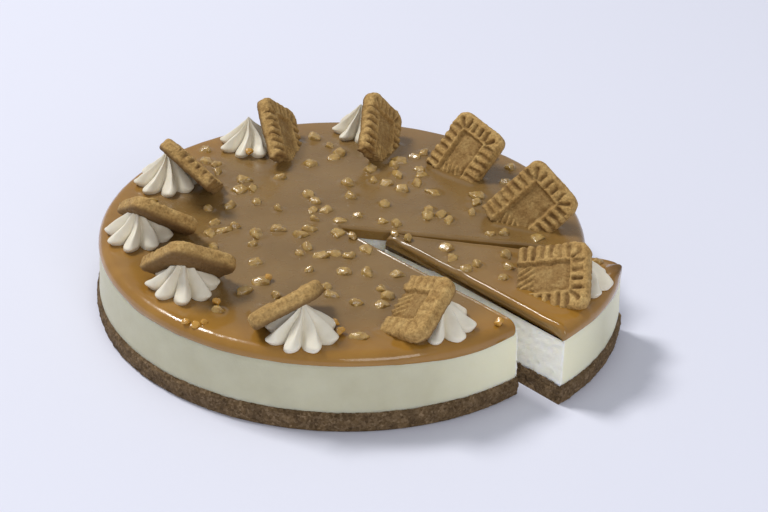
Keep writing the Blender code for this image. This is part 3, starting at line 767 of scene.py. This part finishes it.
def biscuit_grid(length):
    """Points all over a half biscuit's outline: a square grid whose two far corners are drawn round."""
    half = BISCUIT_WIDTH / 2
    columns = round(BISCUIT_WIDTH / BISCUIT_STEP)
    rows = round(length / BISCUIT_STEP)
    x, y = np.meshgrid(np.linspace(-half, half, columns + 1), np.linspace(-length / 2, length / 2, rows + 1))
    centre_x = half - BISCUIT_CORNER
    centre_y = length / 2 - BISCUIT_CORNER
    a = np.clip((np.abs(x) - centre_x) / BISCUIT_CORNER, 0.0, 1.0)
    b = np.clip((y - centre_y) / BISCUIT_CORNER, 0.0, 1.0)
    corner = (a > 0) & (b > 0)
    round_x = np.sign(x) * (centre_x + BISCUIT_CORNER * a * np.sqrt(1 - b * b / 2))
    round_y = centre_y + BISCUIT_CORNER * b * np.sqrt(1 - a * a / 2)
    return np.where(corner, round_x, x), np.where(corner, round_y, y)


def from_rim(x, y, length):
    """How far each point of a half biscuit's plan lies inside its rounded outline."""
    half = BISCUIT_WIDTH / 2
    rim_x = np.maximum(np.abs(x) - (half - BISCUIT_CORNER), 0.0)
    rim_y = np.maximum(y - (length / 2 - BISCUIT_CORNER), 0.0)
    straight = np.minimum(half - np.abs(x), length / 2 - y)
    round_corner = BISCUIT_CORNER - np.hypot(rim_x, rim_y)
    return np.maximum(np.where((rim_x > 0) & (rim_y > 0), round_corner, straight), 0.0)


def biscuit_relief(x, y, length, seed):
    """Height of the ridged face below its highest level, and how deep in a groove or the sunk panel each
    point is, for the painted shade there.
    """
    plan = np.stack([x, y, np.full_like(x, seed * BISCUIT_SEED_STEP)], axis=-1)
    x = x + uneven(plan, BISCUIT_SHAKE[0])
    y = y + uneven(plan, BISCUIT_SHAKE[1])
    half = BISCUIT_WIDTH / 2
    core_x = half - BORDER_WIDTH - PANEL_CORNER
    core_y = length / 2 - BORDER_WIDTH - PANEL_CORNER
    away_x = np.abs(x) - np.clip(np.abs(x), 0.0, core_x)
    away_y = y - np.minimum(y, core_y)
    reach = np.hypot(away_x, away_y)
    border = reach - PANEL_CORNER
    inside = np.minimum(core_x + PANEL_CORNER - np.abs(x), core_y + PANEL_CORNER - y)

    fan = np.arctan2(away_x, np.maximum(away_y, 1e-9))
    corner = (away_x > 0) & (away_y > 0)
    along = np.where(corner, core_x + fan / (math.pi / 2) * 2 * NOTCH_PITCH, np.abs(x))
    along = np.where((away_x > 0) & ~corner, core_x + 2 * NOTCH_PITCH + (core_y - y), along)
    spread = np.where(corner, reach * (math.pi / 2) / (2 * NOTCH_PITCH), 1.0)
    offset = ((along / NOTCH_PITCH) % 1.0 - 0.5) * NOTCH_PITCH * np.minimum(spread, 1.3)
    long_side = (away_x > 0) & ~corner
    far = np.where(corner, 0.0076, np.where(long_side, 0.0110, 0.0066))
    lengthwise = smooth_step(0.0006, 0.0018, border) * (1 - smooth_step(far - 0.0014, far, border))
    depth = 0.8 + 0.45 * noise_at(plan, 0.0060, 4)
    depth *= WORN_RELIEF if seed == WORN_BISCUIT else 1.0
    groove = np.exp(-np.abs(offset / NOTCH_HALF_WIDTH) ** 3) * lengthwise * depth
    drop = rounded_drop(from_rim(x, y, length), RIM_ROUNDING) + NOTCH_RELIEF * groove

    panel = smooth_step(-0.0003, 0.0006, inside)
    drop = drop + PANEL_RELIEF * panel + hump(inside, *PANEL_MOAT)
    hatch = np.cos((x + HATCH_SLANT * y) * 2 * math.pi / HATCH_PITCH)
    from_break = y + length / 2
    raised = smooth_step(-0.1, 0.6, hatch) * (1 - smooth_step(HATCH_REACH - 0.0012, HATCH_REACH, from_break))
    raised = raised * smooth_step(0.0012, 0.0022, inside)
    dimples = uneven(plan, BISCUIT_DIMPLES) * panel
    drop = drop - HATCH_HEIGHT * raised * (0.6 + 0.5 * depth) + dimples
    return drop, np.maximum(groove, panel * 0.5 * (1 - raised))


def biscuit_mesh(name, length, seed):
    """A half biscuit in its own frame: ridged face, plain underside, rounded edges and a broken end."""
    x, y = biscuit_grid(length)
    drop, groove = biscuit_relief(x, y, length, seed)
    top = BISCUIT_THICKNESS / 2
    face = np.stack([x, y, top - drop], axis=-1)
    back = np.stack([x, y, -top + rounded_drop(from_rim(x, y, length), BACK_ROUNDING)], axis=-1)
    share = np.linspace(0.0, 1.0, BISCUIT_EDGE_ROWS)[None, :, None]
    patches = [face, back]
    for edge in (np.s_[0], np.s_[-1], np.s_[:, 0], np.s_[:, -1]):
        upper = face[edge][:, None, :]
        lower = back[edge][:, None, :]
        patches.append(upper * (1 - share) + lower * share)
    mesh = closed_mesh(name, patches)

    points = mesh_points(mesh)
    normals = mesh_points(mesh, "normal")
    moved = points + Vector((seed * BISCUIT_SEED_STEP, 0.0, 0.0))
    # Painted shade in the grooves and the sunk panel, for the material to darken
    painted_groove_shade = biscuit_relief(points[:, 0], points[:, 1], length, seed)[1]
    painted_groove_shade = painted_groove_shade * smooth_step(0.0, 0.0010, points[:, 2])
    edge = 1 - smooth_step(0.0, 0.0030, from_rim(points[:, 0], points[:, 1], length))
    plain = np.maximum(edge, 1 - smooth_step(-top, -top + 0.0020, points[:, 2]))
    broken = 1 - smooth_step(0.0, 0.0018, points[:, 1] + length / 2)
    grain = uneven(moved, *BISCUIT_GRAIN)
    lumps = uneven(moved, BISCUIT_LUMPS) * plain
    pores = hollows(moved, BISCUIT_PORES) + hollows(moved, BISCUIT_HOLES)
    rough = uneven(moved, *BROKEN_ROUGH) * broken
    amount = grain + lumps - pores + uneven(moved, BISCUIT_SWELL) + rough
    points = points + normals * amount[:, None]
    jag = uneven(moved * (1, 0, 0.5), BROKEN_JAG[0]) + uneven(moved * (1, 0, 1), BROKEN_JAG[1])
    points[:, 1] += jag * broken
    set_points(mesh, points)

    # Darker underneath: browning from baking and painted shade where the underside turns away from the light
    paint(mesh, "under", 1 - smooth_step(-top + 0.0004, -top + 0.0028, points[:, 2]))
    paint(mesh, "groove", painted_groove_shade)
    paint(mesh, "broken", broken)
    return mesh


def trim_below(mesh, height):
    """Cuts a mesh off level at a height and closes it."""
    body = bmesh.new()
    body.from_mesh(mesh)
    geometry = body.verts[:] + body.edges[:] + body.faces[:]
    cut = bmesh.ops.bisect_plane(
        body, geom=geometry, dist=0.000001, plane_co=(0, 0, height), plane_no=(0, 0, 1), clear_inner=True)
    edges = [item for item in cut["geom_cut"] if isinstance(item, bmesh.types.BMEdge)]
    bmesh.ops.holes_fill(body, edges=edges, sides=0)
    body.to_mesh(mesh)
    body.free()


def rosette_mesh(name, seed):
    """A piped rosette: eight sharp fins with deep valleys that spread into round petals at the foot."""
    around = ROSETTE_RIDGES * ROSETTE_STEPS
    knots = np.array([ring.height for ring in ROSETTE_RINGS]) / ROSETTE_HEIGHT
    share = np.linspace(0.0, 1.0, ROSETTE_LEVELS) ** 1.15
    fine = np.linspace(0.0, 1.0, 400)
    kernel = np.hanning(41) / np.hanning(41).sum()
    profiles = []
    for radii in ([ring.crest for ring in ROSETTE_RINGS], [ring.valley for ring in ROSETTE_RINGS]):
        padded = np.pad(np.interp(fine, knots, radii), 20, mode="reflect", reflect_type="odd")
        profiles.append(np.interp(share, fine, np.convolve(padded, kernel, "valid"))[:, None])
    crest, valley = profiles
    turn = np.linspace(0.0, 2 * math.pi, around + 1)
    off_crest = np.abs((turn * ROSETTE_RIDGES / (2 * math.pi)) % 1.0 * 2 - 1)[None, :]
    foot = (1 - smooth_step(0.06, 0.52, share))[:, None]
    petal = np.clip(1 - off_crest ** 2, 0.0, 1.0) ** 0.85
    soft = np.hypot(off_crest, 0.12) - 0.12
    fin = np.clip(1 - soft / (np.hypot(1.0, 0.12) - 0.12), 0.0, 1.0) ** 1.3
    swell = petal * foot + fin * (1 - foot)
    draw = random.Random(seed)
    lobes = np.array([draw.uniform(0.90, 1.05) for _ in range(ROSETTE_RIDGES)])
    lobes = np.append(lobes, lobes[0])
    uneven = np.interp(turn * ROSETTE_RIDGES / (2 * math.pi), np.arange(ROSETTE_RIDGES + 1), lobes)
    radius = valley + (crest * (1 + (uneven - 1) * foot) - valley) * swell
    twist = np.radians(ROSETTE_TWIST) * share[:, None]
    height = ROSETTE_HEIGHT * share[:, None] * np.ones_like(radius)
    angle = turn[None, :] + twist
    wall = np.stack([radius * np.cos(angle), radius * np.sin(angle), height], axis=-1)
    return closed_mesh(name, [wall], [wall[0, :-1], wall[-1, :-1]])


def build_rosette(number, rosette, biscuit, centre, material):
    name = f"rosette_{number:02d}"
    mesh = rosette_mesh(name + "_cream", number)
    place = polar(rosette.azimuth, rosette.distance)
    origin = centre + Vector((place.x, place.y, CARAMEL_TOP))
    mesh.transform(Matrix.Translation(origin) @ Matrix.Rotation(math.radians(rosette.turn), 4, "Z")
                   @ Matrix.Scale(rosette.size, 4))
    points = mesh_points(mesh)
    bend = np.stack([noise_at(points, CREAM_BEND_SIZE, seed) for seed in (number, number + 30)], axis=-1)
    points[:, :2] += CREAM_BEND * bend * smooth_step(0.0, 0.006, points[:, 2] - CARAMEL_TOP)[:, None]
    set_points(mesh, points)
    push_out(mesh, CREAM_LUMPS * noise_at(points, CREAM_LUMP_SIZE, number + 20))
    points = mesh_points(mesh)
    pose = Matrix.Translation(centre) @ biscuit_matrix(biscuit)
    local = carried(points, pose.inverted())
    limit_x = BISCUIT_WIDTH / 2 + 0.0004
    limit_y = biscuit.length / 2 + 0.0004
    floor = -BISCUIT_THICKNESS / 2 - 0.0001
    behind = (np.abs(local[:, 0]) < limit_x) & (np.abs(local[:, 1]) < limit_y) & (local[:, 2] > floor)
    local[behind, 2] = floor
    set_points(mesh, carried(local, pose))
    return add_piece(name + "_cream", mesh, material, name)


def build_biscuit(number, biscuit, centre, material):
    name = f"biscuit_{number:02d}"
    mesh = biscuit_mesh(name + "_baked", biscuit.length, number)
    mesh.transform(Matrix.Translation(centre) @ biscuit_matrix(biscuit))
    trim_below(mesh, CARAMEL_TOP - BISCUIT_SINK)
    return add_piece(name + "_baked", mesh, material, name)


def inside_sector(x, y, apex, faces, margin):
    """Whether a point lies in the wedge between two faces, at least margin away from both."""
    offset = Vector((x, y)) - Vector(apex)
    lower = polar(faces[0], 1.0)
    upper = polar(faces[1], 1.0)
    past_lower = lower.x * offset.y - lower.y * offset.x
    before_upper = offset.x * upper.y - offset.y * upper.x
    return min(past_lower, before_upper) > margin


def clear_of_toppings(x, y, reach, rosettes, biscuits):
    """Whether a toffee piece of this reach stands free of the rosettes and biscuits."""
    for rosette in rosettes:
        centre = polar(rosette.azimuth, rosette.distance)
        if math.hypot(x - centre.x, y - centre.y) < ROSETTE_KEEP_OUT * rosette.size + reach:
            return False
    for biscuit in biscuits:
        half = (BISCUIT_WIDTH / 2 + reach, biscuit.length / 2 + reach, BISCUIT_THICKNESS / 2 + reach)
        back = biscuit_matrix(biscuit).inverted()
        for height in (CARAMEL_TOP, CARAMEL_TOP + TOFFEE_PROUD[1]):
            local = back @ Vector((x, y, height))
            if all(abs(value) < limit for value, limit in zip(local, half)):
                return False
    return True


def toffee_places(count, seed, allowed):
    """Toffee pieces spread evenly by a seeded rule, some of them in touching pairs."""
    draw = random.Random(seed)
    places = []
    pair_with = None
    for _ in range(TOFFEE_TRIES):
        if len(places) == count:
            break
        if pair_with is not None:
            angle = draw.uniform(0, 360)
            step = polar(angle, TOFFEE_PAIR_STEP)
            x, y = pair_with.x + step.x, pair_with.y + step.y
            spacing = TOFFEE_PAIR_STEP * 0.95
        else:
            x = draw.uniform(-TOFFEE_REACH, TOFFEE_REACH)
            y = draw.uniform(-TOFFEE_REACH, TOFFEE_REACH)
            spacing = TOFFEE_SPACING
        length = draw.triangular(TOFFEE_LENGTHS[0], TOFFEE_LENGTHS[2], TOFFEE_LENGTHS[1])
        width = length * draw.uniform(*TOFFEE_SLENDER)
        proud = draw.uniform(*TOFFEE_PROUD)
        turn = draw.uniform(0, 180)
        pair_next = draw.random() < TOFFEE_PAIR_SHARE
        near = min((math.hypot(x - other.x, y - other.y) for other in places), default=1.0)
        reach = length / 2 + TOFFEE_CLEARANCE
        fits = math.hypot(x, y) + reach < TOFFEE_REACH + 0.004 and near > spacing and allowed(x, y, reach)
        if not fits:
            pair_with = None
            continue
        place = Toffee(x, y, length, width, proud, turn)
        pair_with = place if pair_next and pair_with is None else None
        places.append(place)
    return places


def nugget_hull(body, size, seed, matrix):
    """Adds an irregular broken piece with softened edges to a bmesh."""
    draw = random.Random(seed)
    piece = bmesh.new()
    for index in range(TOFFEE_POINTS):
        height = 1 - 2 * (index + 0.5) / TOFFEE_POINTS
        angle = index * 2.4 + draw.uniform(-0.5, 0.5)
        ring = math.sqrt(1 - height * height)
        swell = draw.uniform(0.86, 1.14)
        direction = Vector((ring * math.cos(angle), ring * math.sin(angle), height)) * swell
        piece.verts.new((direction.x * size[0] / 2, direction.y * size[1] / 2, direction.z * size[2] / 2))
    hull = bmesh.ops.convex_hull(piece, input=piece.verts)
    loose = [item for item in hull["geom_interior"] if isinstance(item, bmesh.types.BMVert)]
    bmesh.ops.delete(piece, geom=loose, context="VERTS")
    bmesh.ops.dissolve_limit(piece, angle_limit=math.radians(20), verts=piece.verts, edges=piece.edges)
    bmesh.ops.bevel(
        piece, geom=piece.edges[:], offset=size[2] * TOFFEE_BEVEL, segments=2, profile=0.55, affect="EDGES")
    bmesh.ops.triangulate(piece, faces=piece.faces[:])
    bmesh.ops.subdivide_edges(piece, edges=piece.edges[:], cuts=1, use_grid_fill=True)
    for vert in piece.verts:
        spot = vert.co + Vector((seed * 0.01, 0, 0))
        vert.co += vert.normal * (0.00042 * noise.noise(spot / 0.0019) + 0.00016 * noise.noise(spot / 0.0008))
    piece.transform(matrix)
    bmesh.ops.recalc_face_normals(piece, faces=piece.faces)
    scratch = bpy.data.meshes.new("nugget")
    piece.to_mesh(scratch)
    piece.free()
    body.from_mesh(scratch)
    bpy.data.meshes.remove(scratch)


def add_bit(body, bit, index, centre):
    """Adds a loose bit of toffee at its point."""
    location = centre + Vector((bit.x, bit.y, bit.z))
    matrix = Matrix.Translation(location) @ Matrix.Rotation(math.radians(bit.turn), 4, (0.3, 0.2, 1.0))
    nugget_hull(body, (bit.size, bit.size * 0.8, bit.size * 0.7), TOFFEE_SEED * 2000 + index, matrix)


def build_toffee(name, places, centre, material, node, bits, amber=()):
    """Toffee pieces as one mesh, with loose bits at given points, the last of them amber."""
    body = bmesh.new()
    for index, place in enumerate(places):
        size = (place.length * TOFFEE_SPREAD, place.width * TOFFEE_SPREAD, place.proud * TOFFEE_DEPTH)
        location = centre + Vector((place.x, place.y, CARAMEL_TOP + place.proud * TOFFEE_RISE))
        matrix = Matrix.Translation(location) @ Matrix.Rotation(math.radians(place.turn), 4, "Z")
        nugget_hull(body, size, TOFFEE_SEED * 1000 + index, matrix)
    for index, bit in enumerate(bits):
        add_bit(body, bit, index, centre)
    plain = len(body.verts)
    for index, bit in enumerate(amber, len(bits)):
        add_bit(body, bit, index, centre)
    mesh = bpy.data.meshes.new(name)
    body.to_mesh(mesh)
    body.free()
    paint(mesh, "amber", [0.0] * plain + [1.0] * (len(mesh.vertices) - plain))
    piece = add_piece(name, mesh, material, node)
    mesh.set_sharp_from_angle(angle=math.radians(50))
    return piece


class Shading:
    """A Principled material and short ways to add nodes to it."""

    def __init__(self, name):
        self.material = bpy.data.materials.new(name)
        self.material.use_nodes = True
        self.nodes = self.material.node_tree.nodes
        self.links = self.material.node_tree.links
        self.shader = self.nodes["Principled BSDF"]
        self.coordinates = self.nodes.new("ShaderNodeTexCoord").outputs["Object"]

    def set(self, **values):
        for name, value in values.items():
            self.shader.inputs[name.replace("_", " ")].default_value = value

    def soften(self, weight, radius, scale):
        """Lets light travel inside the material."""
        self.set(Subsurface_Weight=weight, Subsurface_Radius=radius, Subsurface_Scale=scale)

    def link(self, output, socket):
        self.links.new(output, self.shader.inputs[socket])

    def texture(self, kind, size):
        """A texture node with features of that size in metres."""
        node = self.nodes.new(kind)
        node.inputs["Scale"].default_value = 1.0 / size
        self.links.new(self.coordinates, node.inputs["Vector"])
        return node

    def noise(self, size, detail, roughness=0.5):
        """Noise from 0 to 1."""
        node = self.texture("ShaderNodeTexNoise", size)
        node.inputs["Detail"].default_value = detail
        node.inputs["Roughness"].default_value = roughness
        return node.outputs["Fac"]

    def cells(self, size, output="Distance"):
        """Distance to the nearest cell centre, or a colour for each cell."""
        return self.texture("ShaderNodeTexVoronoi", size).outputs[output]

    def attribute(self, name):
        node = self.nodes.new("ShaderNodeAttribute")
        node.attribute_name = name
        return node.outputs["Fac"]

    def ramp(self, value, *stops):
        """A colour for each value; a stop is (position, colour)."""
        node = self.nodes.new("ShaderNodeValToRGB")
        elements = node.color_ramp.elements
        while len(elements) < len(stops):
            elements.new(0.5)
        for element, (position, colour) in zip(elements, stops):
            element.position = position
            element.color = (*colour, 1.0)
        self.links.new(value, node.inputs["Fac"])
        return node.outputs["Color"]

    def mix(self, factor, first, second, kind="MIX"):
        node = self.nodes.new("ShaderNodeMix")
        node.data_type = "RGBA"
        node.blend_type = kind
        for socket, value in (("Factor", factor), ("A", first), ("B", second)):
            self.feed(node.inputs[socket], value)
        return node.outputs["Result"]

    def tint(self, colour, attribute, most, other):
        """Another colour mixed in where the attribute is high, up to the share most."""
        share = self.rescale(self.attribute(attribute), 0.0, 1.0, 0.0, most)
        return self.mix(share, colour, other)

    def mottled(self, size, detail, low, high):
        """A colour that wanders between two by noise."""
        return self.ramp(self.noise(size, detail), (0.3, low), (0.7, high))

    def feed(self, socket, value):
        if isinstance(value, bpy.types.NodeSocket):
            self.links.new(value, socket)
        elif isinstance(value, tuple):
            socket.default_value = (*value, 1.0)
        else:
            socket.default_value = value

    def rescale(self, value, low, high, new_low, new_high):
        node = self.nodes.new("ShaderNodeMapRange")
        limits = {"From Min": low, "From Max": high, "To Min": new_low, "To Max": new_high}
        for socket, number in limits.items():
            node.inputs[socket].default_value = number
        self.links.new(value, node.inputs["Value"])
        return node.outputs["Result"]

    def subtract(self, first, second):
        node = self.nodes.new("ShaderNodeMath")
        node.operation = "SUBTRACT"
        self.feed(node.inputs[0], first)
        self.feed(node.inputs[1], second)
        return node.outputs[0]

    def bump(self, height, depth, strength=1.0):
        node = self.nodes.new("ShaderNodeBump")
        node.inputs["Strength"].default_value = strength
        node.inputs["Distance"].default_value = depth
        self.links.new(height, node.inputs["Height"])
        self.link(node.outputs["Normal"], "Normal")


def crumb_material():
    """Packed biscuit crumb: brown with lighter and darker grains."""
    look = Shading("crumb_look")
    grain = look.ramp(look.cells(0.0010, "Color"),
                      (0.0, (0.090, 0.054, 0.024)), (0.45, (0.158, 0.102, 0.050)),
                      (0.8, (0.220, 0.150, 0.085)), (1.0, (0.300, 0.215, 0.130)))
    patch = look.mottled(0.005, 4, (0.66, 0.63, 0.60), (1.12, 1.10, 1.06))
    look.link(look.mix(1.0, grain, patch, "MULTIPLY"), "Base Color")
    look.set(Roughness=0.88, Specular_IOR_Level=0.25)
    look.bump(look.subtract(look.noise(0.0006, 5, 0.6), look.cells(0.0008)), 0.0004)
    return look.material


def filling_material():
    """Set cream cheese: warm off-white, with painted light that pales the side near the cuts, and white on
    the cuts.
    """
    look = Shading("filling_look")
    side = look.mottled(0.014, 3, (0.530, 0.505, 0.355), (0.590, 0.570, 0.415))
    # Painted light: the side turns paler near the cuts, standing in for light that shines through the filling
    side = look.mix(look.attribute("painted_light_near_cuts"), side, (0.860, 0.835, 0.620))
    cut = look.mottled(0.0035, 5, (0.940, 0.920, 0.800), (0.975, 0.960, 0.880))
    look.link(look.mix(look.attribute("cut"), side, cut), "Base Color")
    look.set(Roughness=0.45)
    look.soften(0.55, (0.9, 0.8, 0.55), 0.006)
    look.bump(look.noise(0.0011, 5, 0.6), 0.00025, 0.7)
    return look.material


def caramel_material():
    """Milky caramel: greyish brown in the middle, warmer at the rim and the cuts, dark at the flap; the rim's
    warmth fades on the far side as painted reflection.
    """
    look = Shading("caramel_look")
    middle = look.mottled(0.030, 3, (0.198, 0.114, 0.035), (0.252, 0.150, 0.050))
    rim = look.mottled(0.018, 3, (0.295, 0.142, 0.020), (0.365, 0.184, 0.030))
    # The rim's orange, faded on the far side as painted reflection
    colour = look.mix(look.attribute("rim"), middle, rim)
    colour = look.mix(look.attribute("cut"), colour, (0.290, 0.160, 0.040))
    colour = look.tint(colour, "flap", 0.85, (0.120, 0.060, 0.016))
    look.link(colour, "Base Color")
    rough = look.rescale(look.noise(0.012, 4), 0.3, 0.7, 0.22, 0.34)
    gloss = look.rescale(look.attribute("rim"), 0.0, 1.0, 0.0, 0.10)
    look.link(look.subtract(rough, gloss), "Roughness")
    look.set(Coat_Weight=0.20, Coat_Roughness=0.08)
    look.soften(0.10, (1.0, 0.6, 0.25), 0.003)
    look.bump(look.noise(0.011, 4, 0.5), 0.0008, 0.45)
    return look.material


def cream_material():
    look = Shading("cream_look")
    tone = look.mottled(0.008, 3, (0.790, 0.735, 0.600), (0.850, 0.800, 0.670))
    look.link(tone, "Base Color")
    look.set(Roughness=0.40)
    look.soften(0.15, (0.9, 0.75, 0.55), 0.002)
    look.bump(look.noise(0.0012, 4, 0.5), 0.00012, 0.6)
    return look.material


def biscuit_material():
    """Caramelised biscuit: golden brown, with painted shade in the grooves and the sunk panel, darker
    underneath from browning and painted shade, and darker where it broke.
    """
    look = Shading("biscuit_look")
    base = look.ramp(look.noise(0.0050, 5, 0.6), (0.30, (0.390, 0.230, 0.076)), (0.55, (0.540, 0.350, 0.132)),
                     (0.75, (0.670, 0.470, 0.195)))
    speck = look.ramp(look.noise(0.0011, 4, 0.6), (0.35, (0.70, 0.66, 0.60)), (0.6, (1.08, 1.07, 1.05)))
    colour = look.mix(1.0, base, speck, "MULTIPLY")
    # Painted shade and browning on the underside
    colour = look.tint(colour, "under", 0.90, (0.170, 0.095, 0.034))
    # Painted shade in the grooves and the sunk panel
    colour = look.tint(colour, "groove", 0.80, (0.140, 0.070, 0.022))
    colour = look.tint(colour, "broken", 0.50, (0.270, 0.165, 0.070))
    look.link(colour, "Base Color")
    look.set(Roughness=0.78, Specular_IOR_Level=0.25)
    look.bump(look.noise(0.0007, 5, 0.65), 0.0005, 0.9)
    return look.material


def toffee_material():
    look = Shading("toffee_look")
    tone = look.mottled(0.0026, 4, (0.310, 0.180, 0.046), (0.540, 0.360, 0.120))
    look.link(look.mix(look.attribute("amber"), tone, (0.560, 0.300, 0.050)), "Base Color")
    look.set(Roughness=0.17, Coat_Weight=0.5, Coat_Roughness=0.07)
    look.soften(0.25, (1.0, 0.65, 0.25), 0.002)
    look.bump(look.noise(0.0009, 3), 0.0004, 0.7)
    return look.material


def floor_material():
    look = Shading("floor_look")
    look.set(Base_Color=FLOOR_COLOUR, Roughness=0.6, Specular_IOR_Level=0.2)
    return look.material


def on_the_cake(items):
    """All the decorations but the one on the drawn-out wedge."""
    return [item for index, item in enumerate(items) if index != WEDGE_DECORATION]


def toffee_plans():
    """Where the toffee pieces of the cake and of the wedge stand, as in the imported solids."""
    toppings = (on_the_cake(ROSETTES), on_the_cake(BISCUITS))
    on_cake = toffee_places(TOFFEE_COUNT, TOFFEE_SEED, lambda x, y, reach: (
        not inside_sector(x, y, NOTCH_APEX, NOTCH_FACES, -reach)
        and clear_of_toppings(x, y, reach, *toppings)))
    on_wedge = toffee_places(TOFFEE_COUNT_WEDGE, TOFFEE_SEED + 1, lambda x, y, reach: (
        inside_sector(x, y, WEDGE_APEX, WEDGE_FACES, reach) and math.hypot(x, y) > WEDGE_TIP_KEEP_OUT
        and clear_of_toppings(x, y, reach, [ROSETTES[WEDGE_DECORATION]], [BISCUITS[WEDGE_DECORATION]])))
    return on_cake, on_wedge


def build_cake():
    crumb = crumb_material()
    filling = filling_material()
    caramel = caramel_material()
    cream = cream_material()
    baked = biscuit_material()
    toffee = toffee_material()
    on_cake, on_wedge = toffee_plans()

    whole = Sector(CENTRE, NOTCH_APEX, NOTCH_FACES[1], NOTCH_FACES[0] + 360)
    build_crumb("cake_crumb", whole, crumb, "crumb_base")
    build_filling("cake_filling", whole, filling, "filling")
    build_caramel("cake_caramel", whole, caramel, "caramel", NOTCH_CORNER, (0.0, -NOTCH_RETREAT),
                  (on_cake, on_the_cake(BISCUITS), CENTRE))
    wedges = {}
    for kind, loss in WEDGE_TIP_LOSS.items():
        wedges[kind] = Sector(WEDGE_CENTRE, WEDGE_APEX, *WEDGE_FACES, loss)
    build_crumb("slice_crumb_piece", wedges["crumb_base"], crumb, "slice_crumb_base")
    build_filling("slice_filling_piece", wedges["filling"], filling, "slice_filling")
    build_caramel("slice_caramel_piece", wedges["caramel"], caramel, "slice_caramel", SLICE_CORNER,
                  (0.0003, SLICE_BULGE), (on_wedge, [BISCUITS[WEDGE_DECORATION]], WEDGE_CENTRE))
    build_toffee("cake_toffee", on_cake, CENTRE, toffee, "caramel", NOTCH_BITS, AMBER_BITS)
    build_toffee("slice_toffee", on_wedge, WEDGE_CENTRE, toffee, "slice_caramel", TIP_BITS)

    for index, (rosette, biscuit) in enumerate(zip(ROSETTES, BISCUITS)):
        centre = WEDGE_CENTRE if index == WEDGE_DECORATION else CENTRE
        build_rosette(index + 1, rosette, biscuit, centre, cream)
        build_biscuit(index + 1, biscuit, centre, baked)


def build_floor():
    mesh = bpy.data.meshes.new("floor")
    corners = [(x * FLOOR_REACH, y * FLOOR_REACH, 0) for x, y in ((-1, -1), (1, -1), (1, 1), (-1, 1))]
    mesh.from_pydata(corners, [], [(0, 1, 2, 3)])
    mesh.materials.append(floor_material())
    add_object("floor", mesh)


def add_area_light(lamp):
    data = bpy.data.lights.new(lamp.name, "AREA")
    data.shape = "RECTANGLE"
    data.size, data.size_y = lamp.size
    data.energy = lamp.power
    data.color = lamp.colour
    light = add_object(lamp.name, data)
    light.location = lamp.location
    facing = Vector(LAMP_TARGET) - Vector(lamp.location)
    light.rotation_euler = facing.to_track_quat("-Z", "Y").to_euler()


def build_lights():
    world = bpy.data.worlds.new("studio")
    bpy.context.scene.world = world
    world.use_nodes = True
    background = world.node_tree.nodes["Background"]
    background.inputs["Color"].default_value = SKY_COLOUR
    background.inputs["Strength"].default_value = SKY_STRENGTH
    for lamp in LAMPS:
        add_area_light(lamp)
    bpy.context.scene.view_settings.view_transform = "Standard"


def build_camera():
    data = bpy.data.cameras.new("camera")
    data.sensor_width = 36.0
    data.lens = CAMERA_LENS
    camera = add_object("camera", data)
    elevation = math.radians(CAMERA_ELEVATION)
    level = CAMERA_DISTANCE * math.cos(elevation)
    position = CENTRE + Vector((0, -level, CAMERA_DISTANCE * math.sin(elevation)))
    aim = CENTRE + CAMERA_AIM
    facing = (aim - position).normalized().to_track_quat("-Z", "Y").to_matrix().to_4x4()
    roll = Matrix.Rotation(math.radians(CAMERA_ROLL), 4, "Z")
    camera.matrix_world = Matrix.Translation(position) @ facing @ roll
    bpy.context.scene.camera = camera


build_camera()
build_floor()
build_lights()
build_cake()
